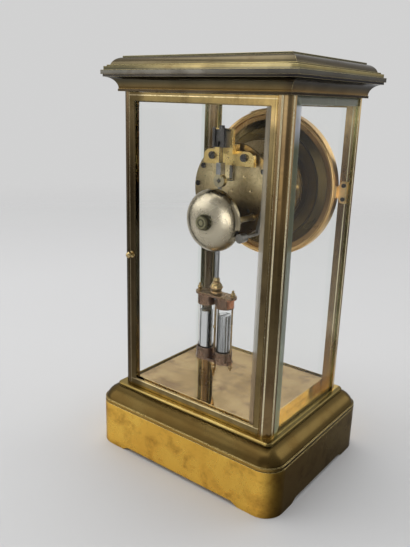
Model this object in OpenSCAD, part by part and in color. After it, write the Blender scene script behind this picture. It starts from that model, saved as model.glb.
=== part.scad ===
// Four-glass mantel clock with a mercury pendulum.
// X runs to the right seen from the dial, Y to the back door, Z up.
// The origin is the middle of the footprint, at the level of the feet.

/* [Case] */
// Width over the corner posts
case_w = 128; // [124:1:150]
// Depth over the corner posts
case_d = 98; // [96:1:120]
// Length of the corner posts
post_h = 210; // [208:1:240]
// Width of a post on each face
post_w = 7.2; // [6.8:0.1:8.5]
// Width of the flat fillets beside the rounded corner of a post
post_fillet = 2; // [1.4:0.1:2.6]
// Depth of the step between a fillet and the rounded corner
post_step = 0.7; // [0.3:0.1:1.2]
// Width of the door stop on the inside of a post
stop_w = 2.8; // [2:0.1:3]
// Thickness of the floor plate
floor_t = 6; // [3:0.5:8]

/* [Base] */
// Height of the base
base_h = 47; // [42:1:60]
// Overhang of the base beyond the posts, also its corner radius
base_out = 14; // [10:0.5:20]
// Wall of the hollow base
base_wall = 3; // [2:0.5:4]
// Height of the fillet band at the top of the straight wall
band_h = 2.5; // [1.5:0.1:4]
// Depth of the grooves above and below the band
groove_d = 0.5; // [0.2:0.1:1]
// Height of the bead round the foot of the posts
bead_h = 2.8; // [2:0.1:4]
// Height of the cut-outs between the feet
foot_cut_h = 2.6; // [1:0.1:5]
// Length of a bracket foot, from the outside of the base
foot_len = 26; // [20:1:32]
// Slope length at the ends of the cut-outs
foot_slope = 5; // [2:0.5:8]

/* [Cornice] */
// Height of the lip under the cove
lip_h = 1.6; // [1:0.1:3]
// Overhang of the lip
lip_out = 1.4; // [0.6:0.1:2]
// Setback of the cove from the lip
cove_in = 0.35; // [0.2:0.05:0.5]
// Radius of the cove
cove_r = 7.2; // [5:0.1:9]
// Height of the fillet over the cove
cove_fillet_h = 1.5; // [1:0.1:3]
// Height of the rim
rim_h = 2.7; // [2:0.1:4]
// Overhang of the rim past the cove
rim_out = 1; // [0.4:0.1:2]
// Height of the fillet over the rim
crest_h = 2.3; // [1.5:0.1:4]
// Setback of the fillet over the rim
crest_in = 1.4; // [0.8:0.1:3]
// Height of the rounded top cap
cap_h = 5.7; // [4:0.1:8]
// Height of the flat plate on the cap
plate_top_h = 1; // [0.6:0.1:2]
// Radius of the round of the cap
cap_r = 6.6; // [6:0.1:8]
// Width of the cornice frame, measured in from the posts' outside
cornice_in = 11; // [8:0.5:14]

/* [Doors and panes] */
// Thickness of a door frame
door_t = 4.5; // [3.6:0.1:4.6]
// Width of the door stiles
stile_w = 4.9; // [4.6:0.1:6]
// Height of the door rails
rail_h = 6; // [5:0.5:8]
// Gap round a door
door_gap = 0.3; // [0.15:0.05:0.6]
// Thickness of a door glass
door_glass_t = 2.4; // [1.6:0.1:2.6]
// Width of the frame lip that holds the glass
glass_seat = 1.4; // [0.8:0.1:2]
// Thickness of the frame lip before the glass
glass_lip = 1.2; // [0.8:0.1:1.6]
// Splay of the lip round the opening
lip_splay = 0.7; // [0.3:0.1:0.7]
// Thickness of a side pane
pane_t = 3; // [2:0.1:3.4]
// Setback of a side pane from the posts' outside
pane_in = 0.4; // [0.2:0.1:1]
// Width of the bevels on the glass
bevel_w = 5; // [3.5:0.5:7]
// Share of the thickness of a glass left at its bevelled edge
bevel_keep = 0.7; // [0.5:0.05:0.85]
// Radius of the hinge pins
pin_r = 1; // [0.7:0.1:1.2]
// Depth of a hinge pin in the base and the cornice
pin_depth = 3; // [2:0.1:3.5]
// Height of the door knobs over the base
knob_rise = 101; // [60:1:150]
// Radius of a door knob
knob_r = 2.3; // [1.8:0.1:2.4]

/* [Dial] */
// Gap between the dial ring and the cornice
dial_gap = 9; // [6:0.5:14]
// Gap between the dial ring and the door stops
ring_gap = 1; // [0.6:0.1:2]
// Wall of the dial ring
ring_wall = 3; // [2:0.1:4]
// Depth of the dial ring behind the plane of the lugs
ring_back = 4.4; // [3:0.1:6]
// Depth of the dial ring before the plane of the lugs
ring_front = 1.4; // [1.2:0.1:1.8]
// Distance of the dial's back behind the plane of the lugs
dial_back = 1.6; // [1.4:0.1:2]
// Thickness of the enamel dial
dial_t = 1.4; // [1:0.1:1.6]
// Thickness of the dial pan
pan_t = 1; // [0.8:0.1:1.5]
// Length of the drum between dial pan and front plate
drum_len = 11.4; // [11:0.1:13]
// Radius of the hole for the hands
hand_hole_r = 3.3; // [3:0.1:4]
// Radius of the winding holes
wind_hole_r = 3.4; // [3:0.1:4]
// Thickness of the lugs
lug_t = 1.5; // [1:0.1:2]
// Height of a lug's neck
lug_neck = 8; // [6:0.5:10]
// Height of a lug's fish tail
lug_tail = 15; // [12:0.5:18]

/* [Movement] */
// Radius of the movement plates
plate_r = 32; // [31.5:0.5:34]
// Thickness of the movement plates
plate_t = 2; // [1.5:0.1:2.5]
// Radius of the pillars
pillar_r = 2; // [1.6:0.1:2.2]
// Radius of the arbors of the large wheels
arbor_r = 0.7; // [0.6:0.05:0.8]
// Radius of the arbors of the quick wheels
slim_r = 0.45; // [0.4:0.01:0.48]
// Radius of the pivots in the plates
pivot_r = 0.35; // [0.25:0.05:0.4]
// Running clearance of pivots, pins and bores
fit = 0.05; // [0.03:0.01:0.08]
// Thickness of the train wheels
wheel_t = 1.2; // [0.8:0.1:1.4]
// Distance of the winding arbors from the middle
barrel_x = 13.8; // [13.6:0.1:14.2]
// Depth of the winding arbors below the middle
barrel_z = 12.5; // [12.3:0.1:13]
// Outer radius of a spring barrel
barrel_r = 11.6; // [10.5:0.1:11.8]
// Wall of a spring barrel
barrel_wall = 1.2; // [0.8:0.1:1.6]
// Radius of the winding arbors
wind_r = 1.9; // [1.6:0.1:2.1]
// Height of the escape wheel's arbor over the middle
escape_rise = 13; // [12.6:0.1:13.4]
// Tip radius of the escape wheel
escape_r = 6.5; // [6:0.1:6.6]
// Height of the pallet arbor over the escape arbor
pallet_rise = 8.9; // [8.7:0.1:9.2]

/* [Striking] */
// Radius of the bell
bell_r = 21; // [18:0.5:22]
// Height of the bell's dome
bell_h = 10.5; // [9:0.5:12]
// Wall of the bell
bell_wall = 1.2; // [0.8:0.1:1.6]
// Depth of the bell's centre below the middle
bell_drop = 18; // [16:0.5:20]
// Distance of the bell's rim behind the back plate
bell_gap = 19; // [18:0.5:20]
// Radius of the bell nut
nut_r = 4.8; // [4:0.1:6]
// Height of the bell nut
nut_h = 4.2; // [3:0.1:4.6]
// Gap between the bell nut and the glass of the back door
nut_room = 3.4; // [2.4:0.1:5]
// Radius of the hammer head
hammer_r = 3; // [2.4:0.1:3.4]

/* [Pendulum] */
// Distance of the pendulum behind the back plate
pendulum_back = 14; // [13.5:0.1:14.4]
// Radius of the pendulum rod
rod_r = 1.5; // [1:0.1:1.6]
// Gap between the drop finial and the floor plate
floor_gap = 8.2; // [6:0.1:16]
// Radius of a mercury jar
jar_r = 5.5; // [4.5:0.1:6]
// Wall of a mercury jar
jar_wall = 0.8; // [0.5:0.1:1.2]
// Distance between the two jars
jar_pitch = 15.5; // [14.8:0.1:17]
// Length of a mercury jar
jar_len = 44; // [38:1:46]
// Height of the mercury in a jar
mercury_h = 33; // [20:1:38]
// Wall of the caps on the jars
cap_wall = 1; // [0.6:0.1:1.4]
// Length of the caps on the jars
cap_len = 7; // [5:0.5:9]
// Distance between the outer side rods
side_pitch = 28.4; // [27.6:0.2:31]
// Length of the drop finial under the jars
drop_len = 14; // [10:0.5:16]

/* [Hidden] */
$fn = 64;

brass = "goldenrod";
dark_brass = "darkgoldenrod";
steel = "slategray";
copper = "sienna";
eps = 0.01;
// How far a cut runs past the piece it is taken from
over = 1;

// Case levels
half_w = case_w / 2;
half_d = case_d / 2;
post_top = base_h + post_h;
ring_r = half_w - post_w - stop_w - ring_gap;
dial_rise = post_h - ring_r - dial_gap;
zc = base_h + dial_rise;

// Base levels
ovolo_z = base_h - bead_h - base_out + groove_d;
shoulder_z = ovolo_z + base_out * 0.36;
band_z = shoulder_z - band_h;

// Cornice levels, counted from the top of the posts
cove_z = lip_h + cove_r;
rim_z = cove_z + cove_fillet_h;
crest_z = rim_z + rim_h;
cap_z = crest_z + crest_h;
cove_out = lip_out - cove_in + cove_r;

// Doors
door_edge = half_w - post_w - door_gap / 2;
hinge_x = -door_edge + door_t / 2;
hinge_y = half_d - door_t / 2;
door_z = base_h + door_gap;
door_h = post_h - 2 * door_gap;
opening_w = 2 * (door_edge - stile_w);
opening_h = door_h - 2 * rail_h;
glass_gap = 0.1;
door_glass_w = opening_w + 2 * (glass_seat - glass_gap);
door_glass_h = opening_h + 2 * (glass_seat - glass_gap);
stop_y = door_t + door_gap;

// Depths of the dial, the bell and the movement between them
dial_r = ring_r - ring_wall - 2 * glass_gap;
lug_y = -half_d + post_w;
dial_y = lug_y + dial_back;
plate_y = dial_y + pan_t + drum_len;
inner_y = plate_y + plate_t;
glass_y = half_d - glass_lip - glass_gap - door_glass_t;
stud_y = glass_y - nut_room - nut_h;
bell_y = stud_y - bell_h;
back_y = bell_y - bell_gap;
rear_y = back_y - plate_t;
plate_gap = rear_y - inner_y;
pend_y = back_y + pendulum_back;

// Wheel counts: the centre arbor turns once an hour
great_n = 80;
great_m = 0.3;
second_n = 70;
second_m = 0.27;
centre_n = 96;
third_n = 84;
train_m = 0.19;
leaves_large = 10;
leaves_mid = 8;
leaves_small = 7;
escape_n = 36;
cannon_n = 12;
minute_n = 36;
motion_m = 0.4;
minute_leaves = 10;
hour_n = 40;
pin_n = 60;
pin_m = 0.22;
lock_n = 48;
lock_m = 0.2;

function spacing(n1, n2, m) = m * (n1 + n2) / 2;
function polar(r, a) = [r * cos(a), r * sin(a)];
function aim(p, q) = atan2(q[1] - p[1], q[0] - p[0]);
// The point at distance rp from p and rq from q, left (1) or right (-1) of the line p to q
function meet(p, rp, q, rq, side) =
  let (d = norm(q - p), u = (q - p) / d, a = (d * d + rp * rp - rq * rq) / (2 * d))
  p + a * u + side * sqrt(rp * rp - a * a) * [-u[1], u[0]];
// Phase of a wheel with n2 teeth that meshes with n1 teeth at phase ph, seen from p to q
function mesh(ph, n1, n2, p, q) = aim(p, q) + 180 + 180 / n2 - (ph - aim(p, q)) * n1 / n2;

// Places of the arbors, from the middle of the dial
centre_p = [0, 0];
going_p = [barrel_x, -barrel_z];
strike_p = [-barrel_x, -barrel_z];
great_c = spacing(great_n, leaves_large, great_m);
second_c = spacing(second_n, leaves_large, second_m);
inter_p = meet(centre_p, second_c, going_p, great_c, -1);
escape_p = [0, escape_rise];
third_p = meet(centre_p, spacing(centre_n, leaves_mid, train_m), escape_p,
  spacing(third_n, leaves_small, train_m), -1);
pallet_p = [0, escape_rise + pallet_rise];
motion_c = spacing(cannon_n, minute_n, motion_m);
hour_m = 2 * motion_c / (minute_leaves + hour_n);
minute_p = polar(motion_c, 120);
second_p = strike_p + polar(great_c, 97);
pin_p = second_p + polar(second_c, 58);
lock_p = pin_p + polar(spacing(pin_n, leaves_mid, pin_m), 113.6);
fly_p = lock_p + polar(spacing(lock_n, leaves_mid, lock_m), 41.5);
hammer_p = [-27.5, -5];
pivot_z = zc + pallet_p[1];

// Depths of the wheels, as shares of the distance between the plates
centre_gap = 1.5;
centre_y = inner_y + centre_gap;
barrel_y = inner_y + plate_gap / 8;
barrel_len = plate_gap / 2;
great_gap = 0.5;
great_y = barrel_y + barrel_len + great_gap;
great_t = 1.5;
third_y = inner_y + plate_gap * 0.375;
second_y = inner_y + plate_gap * 0.8125;
escape_gap = 0.3;
escape_y = second_y + wheel_t + escape_gap;
lock_y = inner_y + plate_gap * 0.6875;
fly_y = inner_y + plate_gap * 0.46;
fly_len = plate_gap * 0.19;
motion_gap = 3;
motion_y = plate_y - motion_gap;
hour_gap = 2.6;
hour_y = motion_y - hour_gap;
// Arbors: play at the shoulders, how far pivots stay inside the plates, reach of a pinion past its wheel
end_play = 0.3;
pivot_short = 0.4;
leaf_over = 0.6;
hub_r = 2;
slim_hub_r = 1.6;
spoke_w = 1.1;

// Phases of the wheels at rest
inter_ph = 0;
going_ph = mesh(inter_ph, leaves_large, great_n, inter_p, going_p);
centre_pinion_ph = mesh(inter_ph, second_n, leaves_large, inter_p, centre_p);
third_pinion_ph = mesh(0, centre_n, leaves_mid, centre_p, third_p);
escape_pinion_ph = mesh(0, third_n, leaves_small, third_p, escape_p);
minute_ph = mesh(0, cannon_n, minute_n, centre_p, minute_p);
hour_ph = mesh(0, minute_leaves, hour_n, minute_p, centre_p);
strike_ph = mesh(0, leaves_large, great_n, second_p, strike_p);
pin_pinion_ph = mesh(0, second_n, leaves_large, second_p, pin_p);
lock_pinion_ph = mesh(0, pin_n, leaves_mid, pin_p, lock_p);
fly_pinion_ph = mesh(0, lock_n, leaves_mid, lock_p, fly_p);

// Movement frame
pillar_places = [[24.5, 14.5], [-24.5, 14.5], [29, 2], [-29, 2], [0, -28.3]];
screw_r = 0.9;
slot_w = 0.6;
slot_d = 0.45;
slot_turn = 17;
pillar_head_r = 1.8;
pillar_head_h = 1.2;
pillar_screw = 4;
pillar_foot = 2;
cock_head_r = 2.5;
cock_head_h = 1.6;
sink_r = 1.3;
sink_d = 0.5;
cock_gap = 3;
cock_y = back_y + cock_gap;
cock_t = 3;
cock_low = 17.2;
cock_w = 9.6;
cock_reach = plate_r * 0.63;
cock_x = plate_r * 0.4;
cock_places = [[cock_x, cock_low + cock_w * 0.58], [-cock_x, cock_low + cock_w * 0.58]];
stand_p = [-18, -16];
stand_r = 2.6;
ratchet_r = 5.4;
click_gap = 0.15;
oiled_pivots = [inter_p, third_p, escape_p, second_p, pin_p, lock_p, fly_p, centre_p];
train_pivots = concat(oiled_pivots, [hammer_p]);

// Pendulum levels
bar_t = 1.6;
bar_w = 2 * (jar_r + cap_wall);
bar_end = 2.2;
jar_seat = 0.4;
jar_play = 2;
frame_z = base_h + floor_t + floor_gap + drop_len;
jar_z = frame_z + bar_t + jar_seat;
bob_z = jar_z + jar_len + jar_play + bar_t;
rod_z = bob_z - bar_t - cap_len * 0.4;
disc_low = 5.5;
disc_drop = pallet_rise + disc_low;
disc_r = 4.2;
disc_t = 3.4;
side_r = 0.6;
stud_finial_r = 1.7;

// Shapes set along Y through a place on the dial plan

module rod_y(p, y0, y1, r) {
  translate([p[0], y0, zc + p[1]]) rotate([-90, 0, 0]) cylinder(h = y1 - y0, r = r);
}

module turned_y(p) {
  translate([p[0], 0, zc + p[1]]) rotate([-90, 0, 0]) rotate_extrude() children();
}

module plate_shape(y0, y1) {
  translate([0, y1, zc]) rotate([90, 0, 0]) linear_extrude(y1 - y0) children();
}

// Height of a tooth inside and outside its pitch circle, in modules
tooth_root = 1.05;
tooth_tip = 0.75;

module gear_outline(n, m) {
  step = 360 / n;
  flank = [[-0.27, -tooth_root], [-0.1, tooth_tip], [0.1, tooth_tip], [0.27, -tooth_root]];
  polygon([for (i = [0 : n - 1], k = flank) polar(m * (n / 2 + k[1]), (i + k[0]) * step)]);
}

module pinion(p, y0, y1, n, m, phase) {
  plate_shape(y0, y1) translate(p) rotate(phase) gear_outline(n, m);
}

// A pinion that runs a little past the wheel of thickness t at depth y
module meshed_pinion(p, y, t, n, m, phase) {
  pinion(p, y - leaf_over, y + t + leaf_over, n, m, phase);
}

// A toothed wheel with a rim, a hub and four crossings
module wheel(p, y0, n, m, phase, hub) {
  rim = m * (n / 2 - tooth_root) - spoke_w;
  plate_shape(y0, y0 + wheel_t) translate(p) rotate(phase) difference() {
    gear_outline(n, m);
    difference() {
      circle(rim);
      circle(hub);
      square([2 * rim, spoke_w], center = true);
      square([spoke_w, 2 * rim], center = true);
    }
  }
}

// A screw head of height h at depth y, slotted on its rear (1) or front (-1)
module screw_head(p, y, r, h, side) difference() {
  rod_y(p, y, y + h, r);
  translate([p[0], side > 0 ? y + h : y, zc + p[1]]) rotate([0, slot_turn * p[0], 0])
    cube([3 * r, 2 * slot_d, slot_w], center = true);
}

// An arbor between the plates with a pivot at each end
module arbor(p, r) {
  rod_y(p, inner_y + end_play, rear_y - end_play, r);
  rod_y(p, plate_y + pivot_short, back_y - pivot_short, pivot_r);
}

// The front pivot of an arbor
module front_pivot(p) rod_y(p, plate_y + pivot_short, inner_y + end_play + eps, pivot_r);

// Case

band_in = 0.2;

module plinth_profile() {
  square([base_out, band_z]);
  square([base_out - groove_d, shoulder_z]);
  translate([0, band_z + groove_d]) square([base_out - band_in, band_h - groove_d]);
  intersection() {
    translate([0, ovolo_z]) circle(base_out);
    square([base_out - groove_d, base_h]);
  }
}

module bead_profile() {
  bead_x = base_out * 0.17;
  square([bead_x, base_h]);
  translate([bead_x, base_h - bead_h / 2]) circle(bead_h / 2);
}

// A profile of (distance, height) carried round the rounded outline of the base
module round_sweep() {
  for (side = [0, 1])
    rotate(180 * side) {
      translate([half_w, half_d, 0]) rotate([90, 0, 0]) linear_extrude(case_d) children();
      translate([half_w, half_d, 0]) rotate([90, 0, 90]) translate([0, 0, -case_w])
        linear_extrude(case_w) children();
      translate([half_w, half_d, 0]) rotate_extrude(angle = 90) children();
      translate([-half_w, half_d, 0]) rotate(90) rotate_extrude(angle = 90) children();
    }
}

module foot_cut(half) {
  reach = half + base_out - foot_len;
  rotate([90, 0, 0]) translate([0, 0, -case_w - base_out]) linear_extrude(2 * (case_w + base_out))
    polygon([[-reach, -over], [-reach, 0], [foot_slope - reach, foot_cut_h],
      [reach - foot_slope, foot_cut_h], [reach, 0], [reach, -over]]);
}

module post_corners() {
  for (sx = [-1, 1], sy = [-1, 1]) translate([sx * half_w, sy * half_d, 0])
    mirror([sx > 0 ? 1 : 0, 0, 0]) mirror([0, sy > 0 ? 1 : 0, 0]) children();
}

screw_in = post_w * 0.64;
screw_depth = 8;
screw_head_h = 2;
post_screw_r = screw_r * 1.5;
post_head_r = screw_r * 3;
screw_end = 0.2;
plinth_top_t = base_h - ovolo_z - base_out + base_wall;

module base_plinth() color(brass) difference() {
  union() {
    round_sweep() plinth_profile();
    round_sweep() bead_profile();
    translate([-half_w, -half_d, 0]) cube([case_w, case_d, base_h]);
  }
  round_sweep() hollow_profile();
  translate([-half_w, -half_d, -over]) cube([case_w, case_d, base_h - plinth_top_t + over]);
  foot_cut(half_w);
  rotate(90) foot_cut(half_d);
  for (s = [-1, 1]) translate([hinge_x, s * hinge_y, base_h - pin_depth - screw_end])
    cylinder(r = pin_r + fit, h = pin_depth + over);
  post_corners() translate([screw_in, screw_in, 0]) cylinder(r = post_screw_r + fit, h = base_h + over);
}

// The hollow follows the outside of the base at one wall's distance
module hollow_profile() {
  inside = base_out - base_wall;
  translate([0, -over]) square([inside, ovolo_z + over]);
  intersection() {
    translate([0, ovolo_z]) circle(inside);
    square([inside, base_h]);
  }
}

module floor_plate() color(brass) {
  floor_half = half_w - post_w - stop_w - 2 * glass_gap;
  translate([-floor_half, -half_d + stop_y, base_h]) cube([2 * floor_half, case_d - 2 * stop_y, floor_t]);
}

module post_section() {
  corner = post_w - post_fillet;
  difference() {
    square(post_w);
    square(corner);
  }
  translate([corner, corner]) intersection() {
    circle(corner - post_step);
    translate([-corner, -corner]) square(corner + eps);
  }
  translate([post_w - eps, stop_y]) square([stop_w + eps, post_w - stop_y]);
}

module post(sx, sy) {
  color(dark_brass) translate([sx * half_w, sy * half_d, base_h])
    mirror([sx > 0 ? 1 : 0, 0, 0]) mirror([0, sy > 0 ? 1 : 0, 0]) difference() {
      linear_extrude(post_h) post_section();
      translate([screw_in, screw_in, -over]) cylinder(r = post_screw_r + fit, h = screw_depth + 2 * over);
      if (sy < 0) translate([lug_screw_in, 0, dial_rise]) lug_screw_holes();
    }
}

module front_left_post() post(-1, -1);
module front_right_post() post(1, -1);
module rear_left_post() post(-1, 1);
module rear_right_post() post(1, 1);

module post_screws() post_corners() translate([screw_in, screw_in, 0]) {
  translate([0, 0, base_h - plinth_top_t - screw_head_h]) difference() {
    cylinder(r = post_head_r, h = screw_head_h);
    cube([3 * post_head_r, slot_w * 1.5, slot_d * 3], center = true);
  }
  translate([0, 0, base_h - plinth_top_t - eps]) cylinder(r = post_screw_r, h = plinth_top_t + screw_depth);
}

// The section of the cornice at one half size of the case
module cornice_section(half) {
  for (side = [0, 1]) mirror([side, 0]) translate([0, post_top]) {
    square([half + lip_out, lip_h]);
    translate([0, lip_h]) difference() {
      square([half + cove_out, cove_r + cove_fillet_h]);
      translate([half + cove_out, 0]) circle(cove_r);
    }
    translate([0, rim_z]) square([half + cove_out + rim_out, rim_h]);
    translate([0, crest_z]) square([half + cove_out + rim_out - crest_in, crest_h]);
  }
}

cap_in = 1.6;
plate_top_out = 0.6;

module cap_section(half) {
  centre_x = half - cap_in;
  for (side = [0, 1]) mirror([side, 0]) translate([0, post_top + cap_z]) {
    intersection() {
      translate([centre_x, cap_h - cap_r]) circle(cap_r);
      square([half + cove_out, cap_h]);
    }
    square([centre_x, cap_h]);
    square([half + cove_out - 1.4 * crest_in, crest_h * 0.4]);
    translate([0, cap_h - eps]) square([centre_x + plate_top_out, plate_top_h + eps]);
  }
}

// A section across the width crossed with the same section across the depth gives mitred corners
module mitred(reach) {
  intersection() {
    rotate([90, 0, 0]) translate([0, 0, -reach]) linear_extrude(2 * reach) children(0);
    rotate([90, 0, 90]) translate([0, 0, -reach]) linear_extrude(2 * reach) children(1);
  }
}

module cornice_moulding() color(dark_brass) difference() {
  mitred(case_w) {
    cornice_section(half_w);
    cornice_section(half_d);
  }
  translate([cornice_in - half_w, cornice_in - half_d, post_top - over])
    cube([case_w - 2 * cornice_in, case_d - 2 * cornice_in, cap_z + 2 * over]);
  for (s = [-1, 1]) translate([hinge_x, s * hinge_y, post_top - over])
    cylinder(r = pin_r + fit, h = pin_depth + over + screw_end);
}

module top_cap() color(dark_brass) mitred(case_w) {
  cap_section(half_w);
  cap_section(half_d);
}

// Glass

module bevel_section(width, thick) {
  edge = bevel_keep * thick;
  polygon([[-width / 2, 0], [width / 2, 0], [width / 2, edge],
    [width / 2 - bevel_w, thick], [bevel_w - width / 2, thick], [-width / 2, edge]]);
}

module splay_section(width) {
  out = lip_splay + over;
  polygon([[-width / 2, 0], [width / 2, 0], [width / 2 + out, out], [-width / 2 - out, out]]);
}

// A section across the width crossed with one along the height, both in (place, depth towards +Y)
module crossed(width, height) {
  intersection() {
    translate([0, 0, -height]) linear_extrude(2 * height) children(0);
    translate([-width, 0, 0]) rotate([90, 0, 90]) rotate(90) mirror([0, 1])
      linear_extrude(2 * width) children(1);
  }
}

// A glass in the XZ plane, its bevels towards +Y
module bevelled_glass(width, height, thick) {
  translate([0, 0, height / 2]) crossed(width, height) {
    bevel_section(width, thick);
    bevel_section(height, thick);
  }
}

module side_pane(side) {
  width = case_d - 2 * post_w - 2 * glass_gap;
  color("lightcyan", 0.5) mirror([side < 0 ? 1 : 0, 0, 0])
    translate([half_w - pane_in - pane_t, 0, base_h + glass_gap]) rotate(-90)
      bevelled_glass(width, post_h - 2 * glass_gap, pane_t);
}

module left_pane() side_pane(-1);
module right_pane() side_pane(1);

// Doors, drawn at the back and mirrored to the front

module facing(side) mirror([0, side < 0 ? 1 : 0, 0]) children();

knob_x = door_edge - stile_w / 2;
stud_r = 0.8;
knob_plate_h = 0.8;
knob_neck_h = 1.6;
knob_lift = 1.2;
pin_in = rail_h - 3;
pin_room = 1;

module door_frame(side) color(brass) facing(side) difference() {
  union() {
    translate([hinge_x, half_d - door_t, door_z]) cube([door_edge - hinge_x, door_t, door_h]);
    translate([hinge_x, hinge_y, door_z]) cylinder(r = door_t / 2, h = door_h);
  }
  translate([-opening_w / 2, 0, door_z + rail_h]) cube([opening_w, case_d, opening_h]);
  translate([-opening_w / 2 - glass_seat, 0, door_z + rail_h - glass_seat])
    cube([opening_w + 2 * glass_seat, half_d - glass_lip, opening_h + 2 * glass_seat]);
  translate([0, half_d - lip_splay, door_z + door_h / 2]) crossed(opening_w, opening_h) {
    splay_section(opening_w);
    splay_section(opening_h);
  }
  for (z = [door_z - over, door_z + door_h - pin_in - pin_room]) translate([hinge_x, hinge_y, z])
    cylinder(r = pin_r + fit, h = pin_in + pin_room + over);
  translate([knob_x, half_d - door_t - over, base_h + knob_rise]) rotate([-90, 0, 0])
    cylinder(r = stud_r + fit, h = door_t + 2 * over);
}

module door_glass(side) color("lightcyan", 0.5) facing(side)
  translate([0, glass_y, door_z + rail_h - glass_seat + glass_gap])
    bevelled_glass(door_glass_w, door_glass_h, door_glass_t);

module door_knob(side) color(brass) facing(side)
  translate([knob_x, half_d, base_h + knob_rise]) rotate([-90, 0, 0]) {
    translate([0, 0, -door_t]) cylinder(r = stud_r, h = door_t + knob_lift + knob_r);
    cylinder(r = knob_r, h = knob_plate_h);
    translate([0, 0, knob_lift + knob_r]) sphere(knob_r);
    cylinder(r = knob_r * 0.55, h = knob_neck_h);
  }

module door_pins(side) color(steel) facing(side) {
  for (z = [base_h - pin_depth, post_top - pin_in]) translate([hinge_x, hinge_y, z])
    cylinder(r = pin_r, h = pin_depth + pin_in);
}

module rear_door_frame() door_frame(1);
module rear_door_glass() door_glass(1);
module rear_door_knob() door_knob(1);
module rear_door_pins() door_pins(1);
module front_door_frame() door_frame(-1);
module front_door_glass() door_glass(-1);
module front_door_knob() door_knob(-1);
module front_door_pins() door_pins(-1);

// Dial

peg_r = 1;
ring_lip = 1.2;
lug_pad = 1.1;
lug_screw_edge = 1.2;
lug_screw_in = post_w - lug_screw_edge;
lug_screw_r = 0.8;
lug_screw_rise = lug_tail * 0.31;
lug_screw_depth = 4;
lug_screw_short = 0.4;
lug_head_r = lug_screw_r * 1.8;
lug_head_h = 1;
lug_root = 2;
lug_slope = 2.4;
lug_end = 0.3;
pad_in = 0.2;

module dial_ring() color(brass) difference() {
  turned_y(centre_p) {
    translate([ring_r - ring_wall, lug_y - ring_front]) square([ring_wall, ring_front + ring_back]);
    translate([ring_r - ring_wall - ring_lip, lug_y - ring_front])
      square([ring_wall, ring_front + dial_back - dial_t - glass_gap]);
    translate([ring_r - ring_wall / 2, lug_y + ring_back]) circle(ring_wall * 0.3);
    translate([ring_r - ring_wall / 2, lug_y - ring_front]) circle(ring_wall * 0.4);
  }
  translate([0, lug_y + ring_back / 2, zc]) rotate([0, 90, 0]) translate([0, 0, -case_w])
    cylinder(r = peg_r + fit, h = 2 * case_w);
}

module lug_screw_holes() {
  for (s = [-1, 1]) translate([0, post_w + lug_t + over, s * lug_screw_rise]) rotate([90, 0, 0])
    cylinder(r = lug_screw_r + fit, h = lug_screw_depth + lug_t + over + screw_end);
}

// Half of the fish tail seen from behind, in (x, height)
module lug_outline() {
  tail_x = half_w - post_w - stop_w;
  end_x = half_w - pane_in - pane_t - lug_end;
  difference() {
    polygon([[ring_r - lug_root, -lug_neck / 2], [tail_x, -lug_neck / 2], [tail_x + lug_slope, -lug_tail / 2],
      [end_x, -lug_tail / 2], [end_x, lug_tail / 2], [tail_x + lug_slope, lug_tail / 2],
      [tail_x, lug_neck / 2], [ring_r - lug_root, lug_neck / 2]]);
    circle(ring_r + fit);
  }
}

module dial_lugs() color(brass) for (side = [0, 1]) mirror([side, 0, 0]) difference() {
  union() {
    plate_shape(lug_y, lug_y + lug_t) lug_outline();
    plate_shape(lug_y, lug_y + ring_back - pad_in) difference() {
      translate([ring_r - lug_root, -lug_neck / 2]) square([lug_root + lug_pad, lug_neck]);
      circle(ring_r + fit);
    }
    translate([ring_r - ring_wall, lug_y + ring_back / 2, zc]) rotate([0, 90, 0])
      cylinder(r = peg_r, h = ring_wall + lug_pad * 0.6);
  }
  translate([half_w - lug_screw_in, lug_y - post_w, zc]) lug_screw_holes();
}

module lug_screws() for (side = [0, 1], s = [-1, 1]) mirror([side, 0, 0]) {
  p = [half_w - lug_screw_in, s * lug_screw_rise];
  screw_head(p, lug_y + lug_t, lug_head_r, lug_head_h, 1);
  rod_y(p, lug_y + lug_screw_short - lug_screw_depth, lug_y + lug_t + eps, lug_screw_r);
}

module case_screws() color(steel) {
  post_screws();
  lug_screws();
}

drum_r = plate_r + 1;
drum_wall = 1.5;
drum_lip = 0.9;
pan_seat = 4;
pan_slope = 2.2;
pan_step = 1.4;

// The pan slopes back from the dial's seat to a step, and carries the drum
module dial_pan() color(brass) turned_y(centre_p) {
  inside = ring_r - ring_wall - fit;
  step_r = (inside - pan_seat + drum_r) / 2;
  step_y = dial_y + pan_slope + pan_step;
  polygon([[inside, dial_y], [inside, dial_y + pan_t], [inside - pan_seat, dial_y + pan_t],
    [step_r + pan_t, dial_y + pan_slope + pan_t], [step_r + pan_t, step_y + pan_t], [drum_r, step_y + pan_t],
    [drum_r, plate_y], [drum_r - drum_wall, plate_y], [drum_r - drum_wall, step_y], [step_r, step_y],
    [step_r, dial_y + pan_slope], [inside - pan_seat, dial_y]]);
  translate([plate_r - drum_lip, plate_y - pan_t]) square([drum_lip + (drum_r - plate_r) / 2, pan_t]);
}

module dial() color("ivory") difference() {
  rod_y(centre_p, dial_y - dial_t, dial_y, dial_r);
  rod_y(centre_p, dial_y - dial_t - over, dial_y + over, hand_hole_r);
  for (p = [going_p, strike_p]) rod_y(p, dial_y - dial_t - over, dial_y + over, wind_hole_r);
}

// Movement frame

module front_hole(p, r) rod_y(p, plate_y - over, inner_y + over, r + fit);
module back_hole(p, r) rod_y(p, rear_y - over, back_y + over, r + fit);

module front_plate() color(brass) difference() {
  rod_y(centre_p, plate_y, inner_y, plate_r);
  for (p = train_pivots) front_hole(p, pivot_r);
  front_hole(pallet_p, pivot_r);
  front_hole(centre_p, centre_r);
  for (p = [going_p, strike_p]) front_hole(p, wind_r);
  for (p = pillar_places) front_hole(p, screw_r);
  front_hole(minute_p, stud_r);
  for (s = [-1, 1]) front_hole([s * click_p[0], click_p[1]], stud_r);
}

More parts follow.
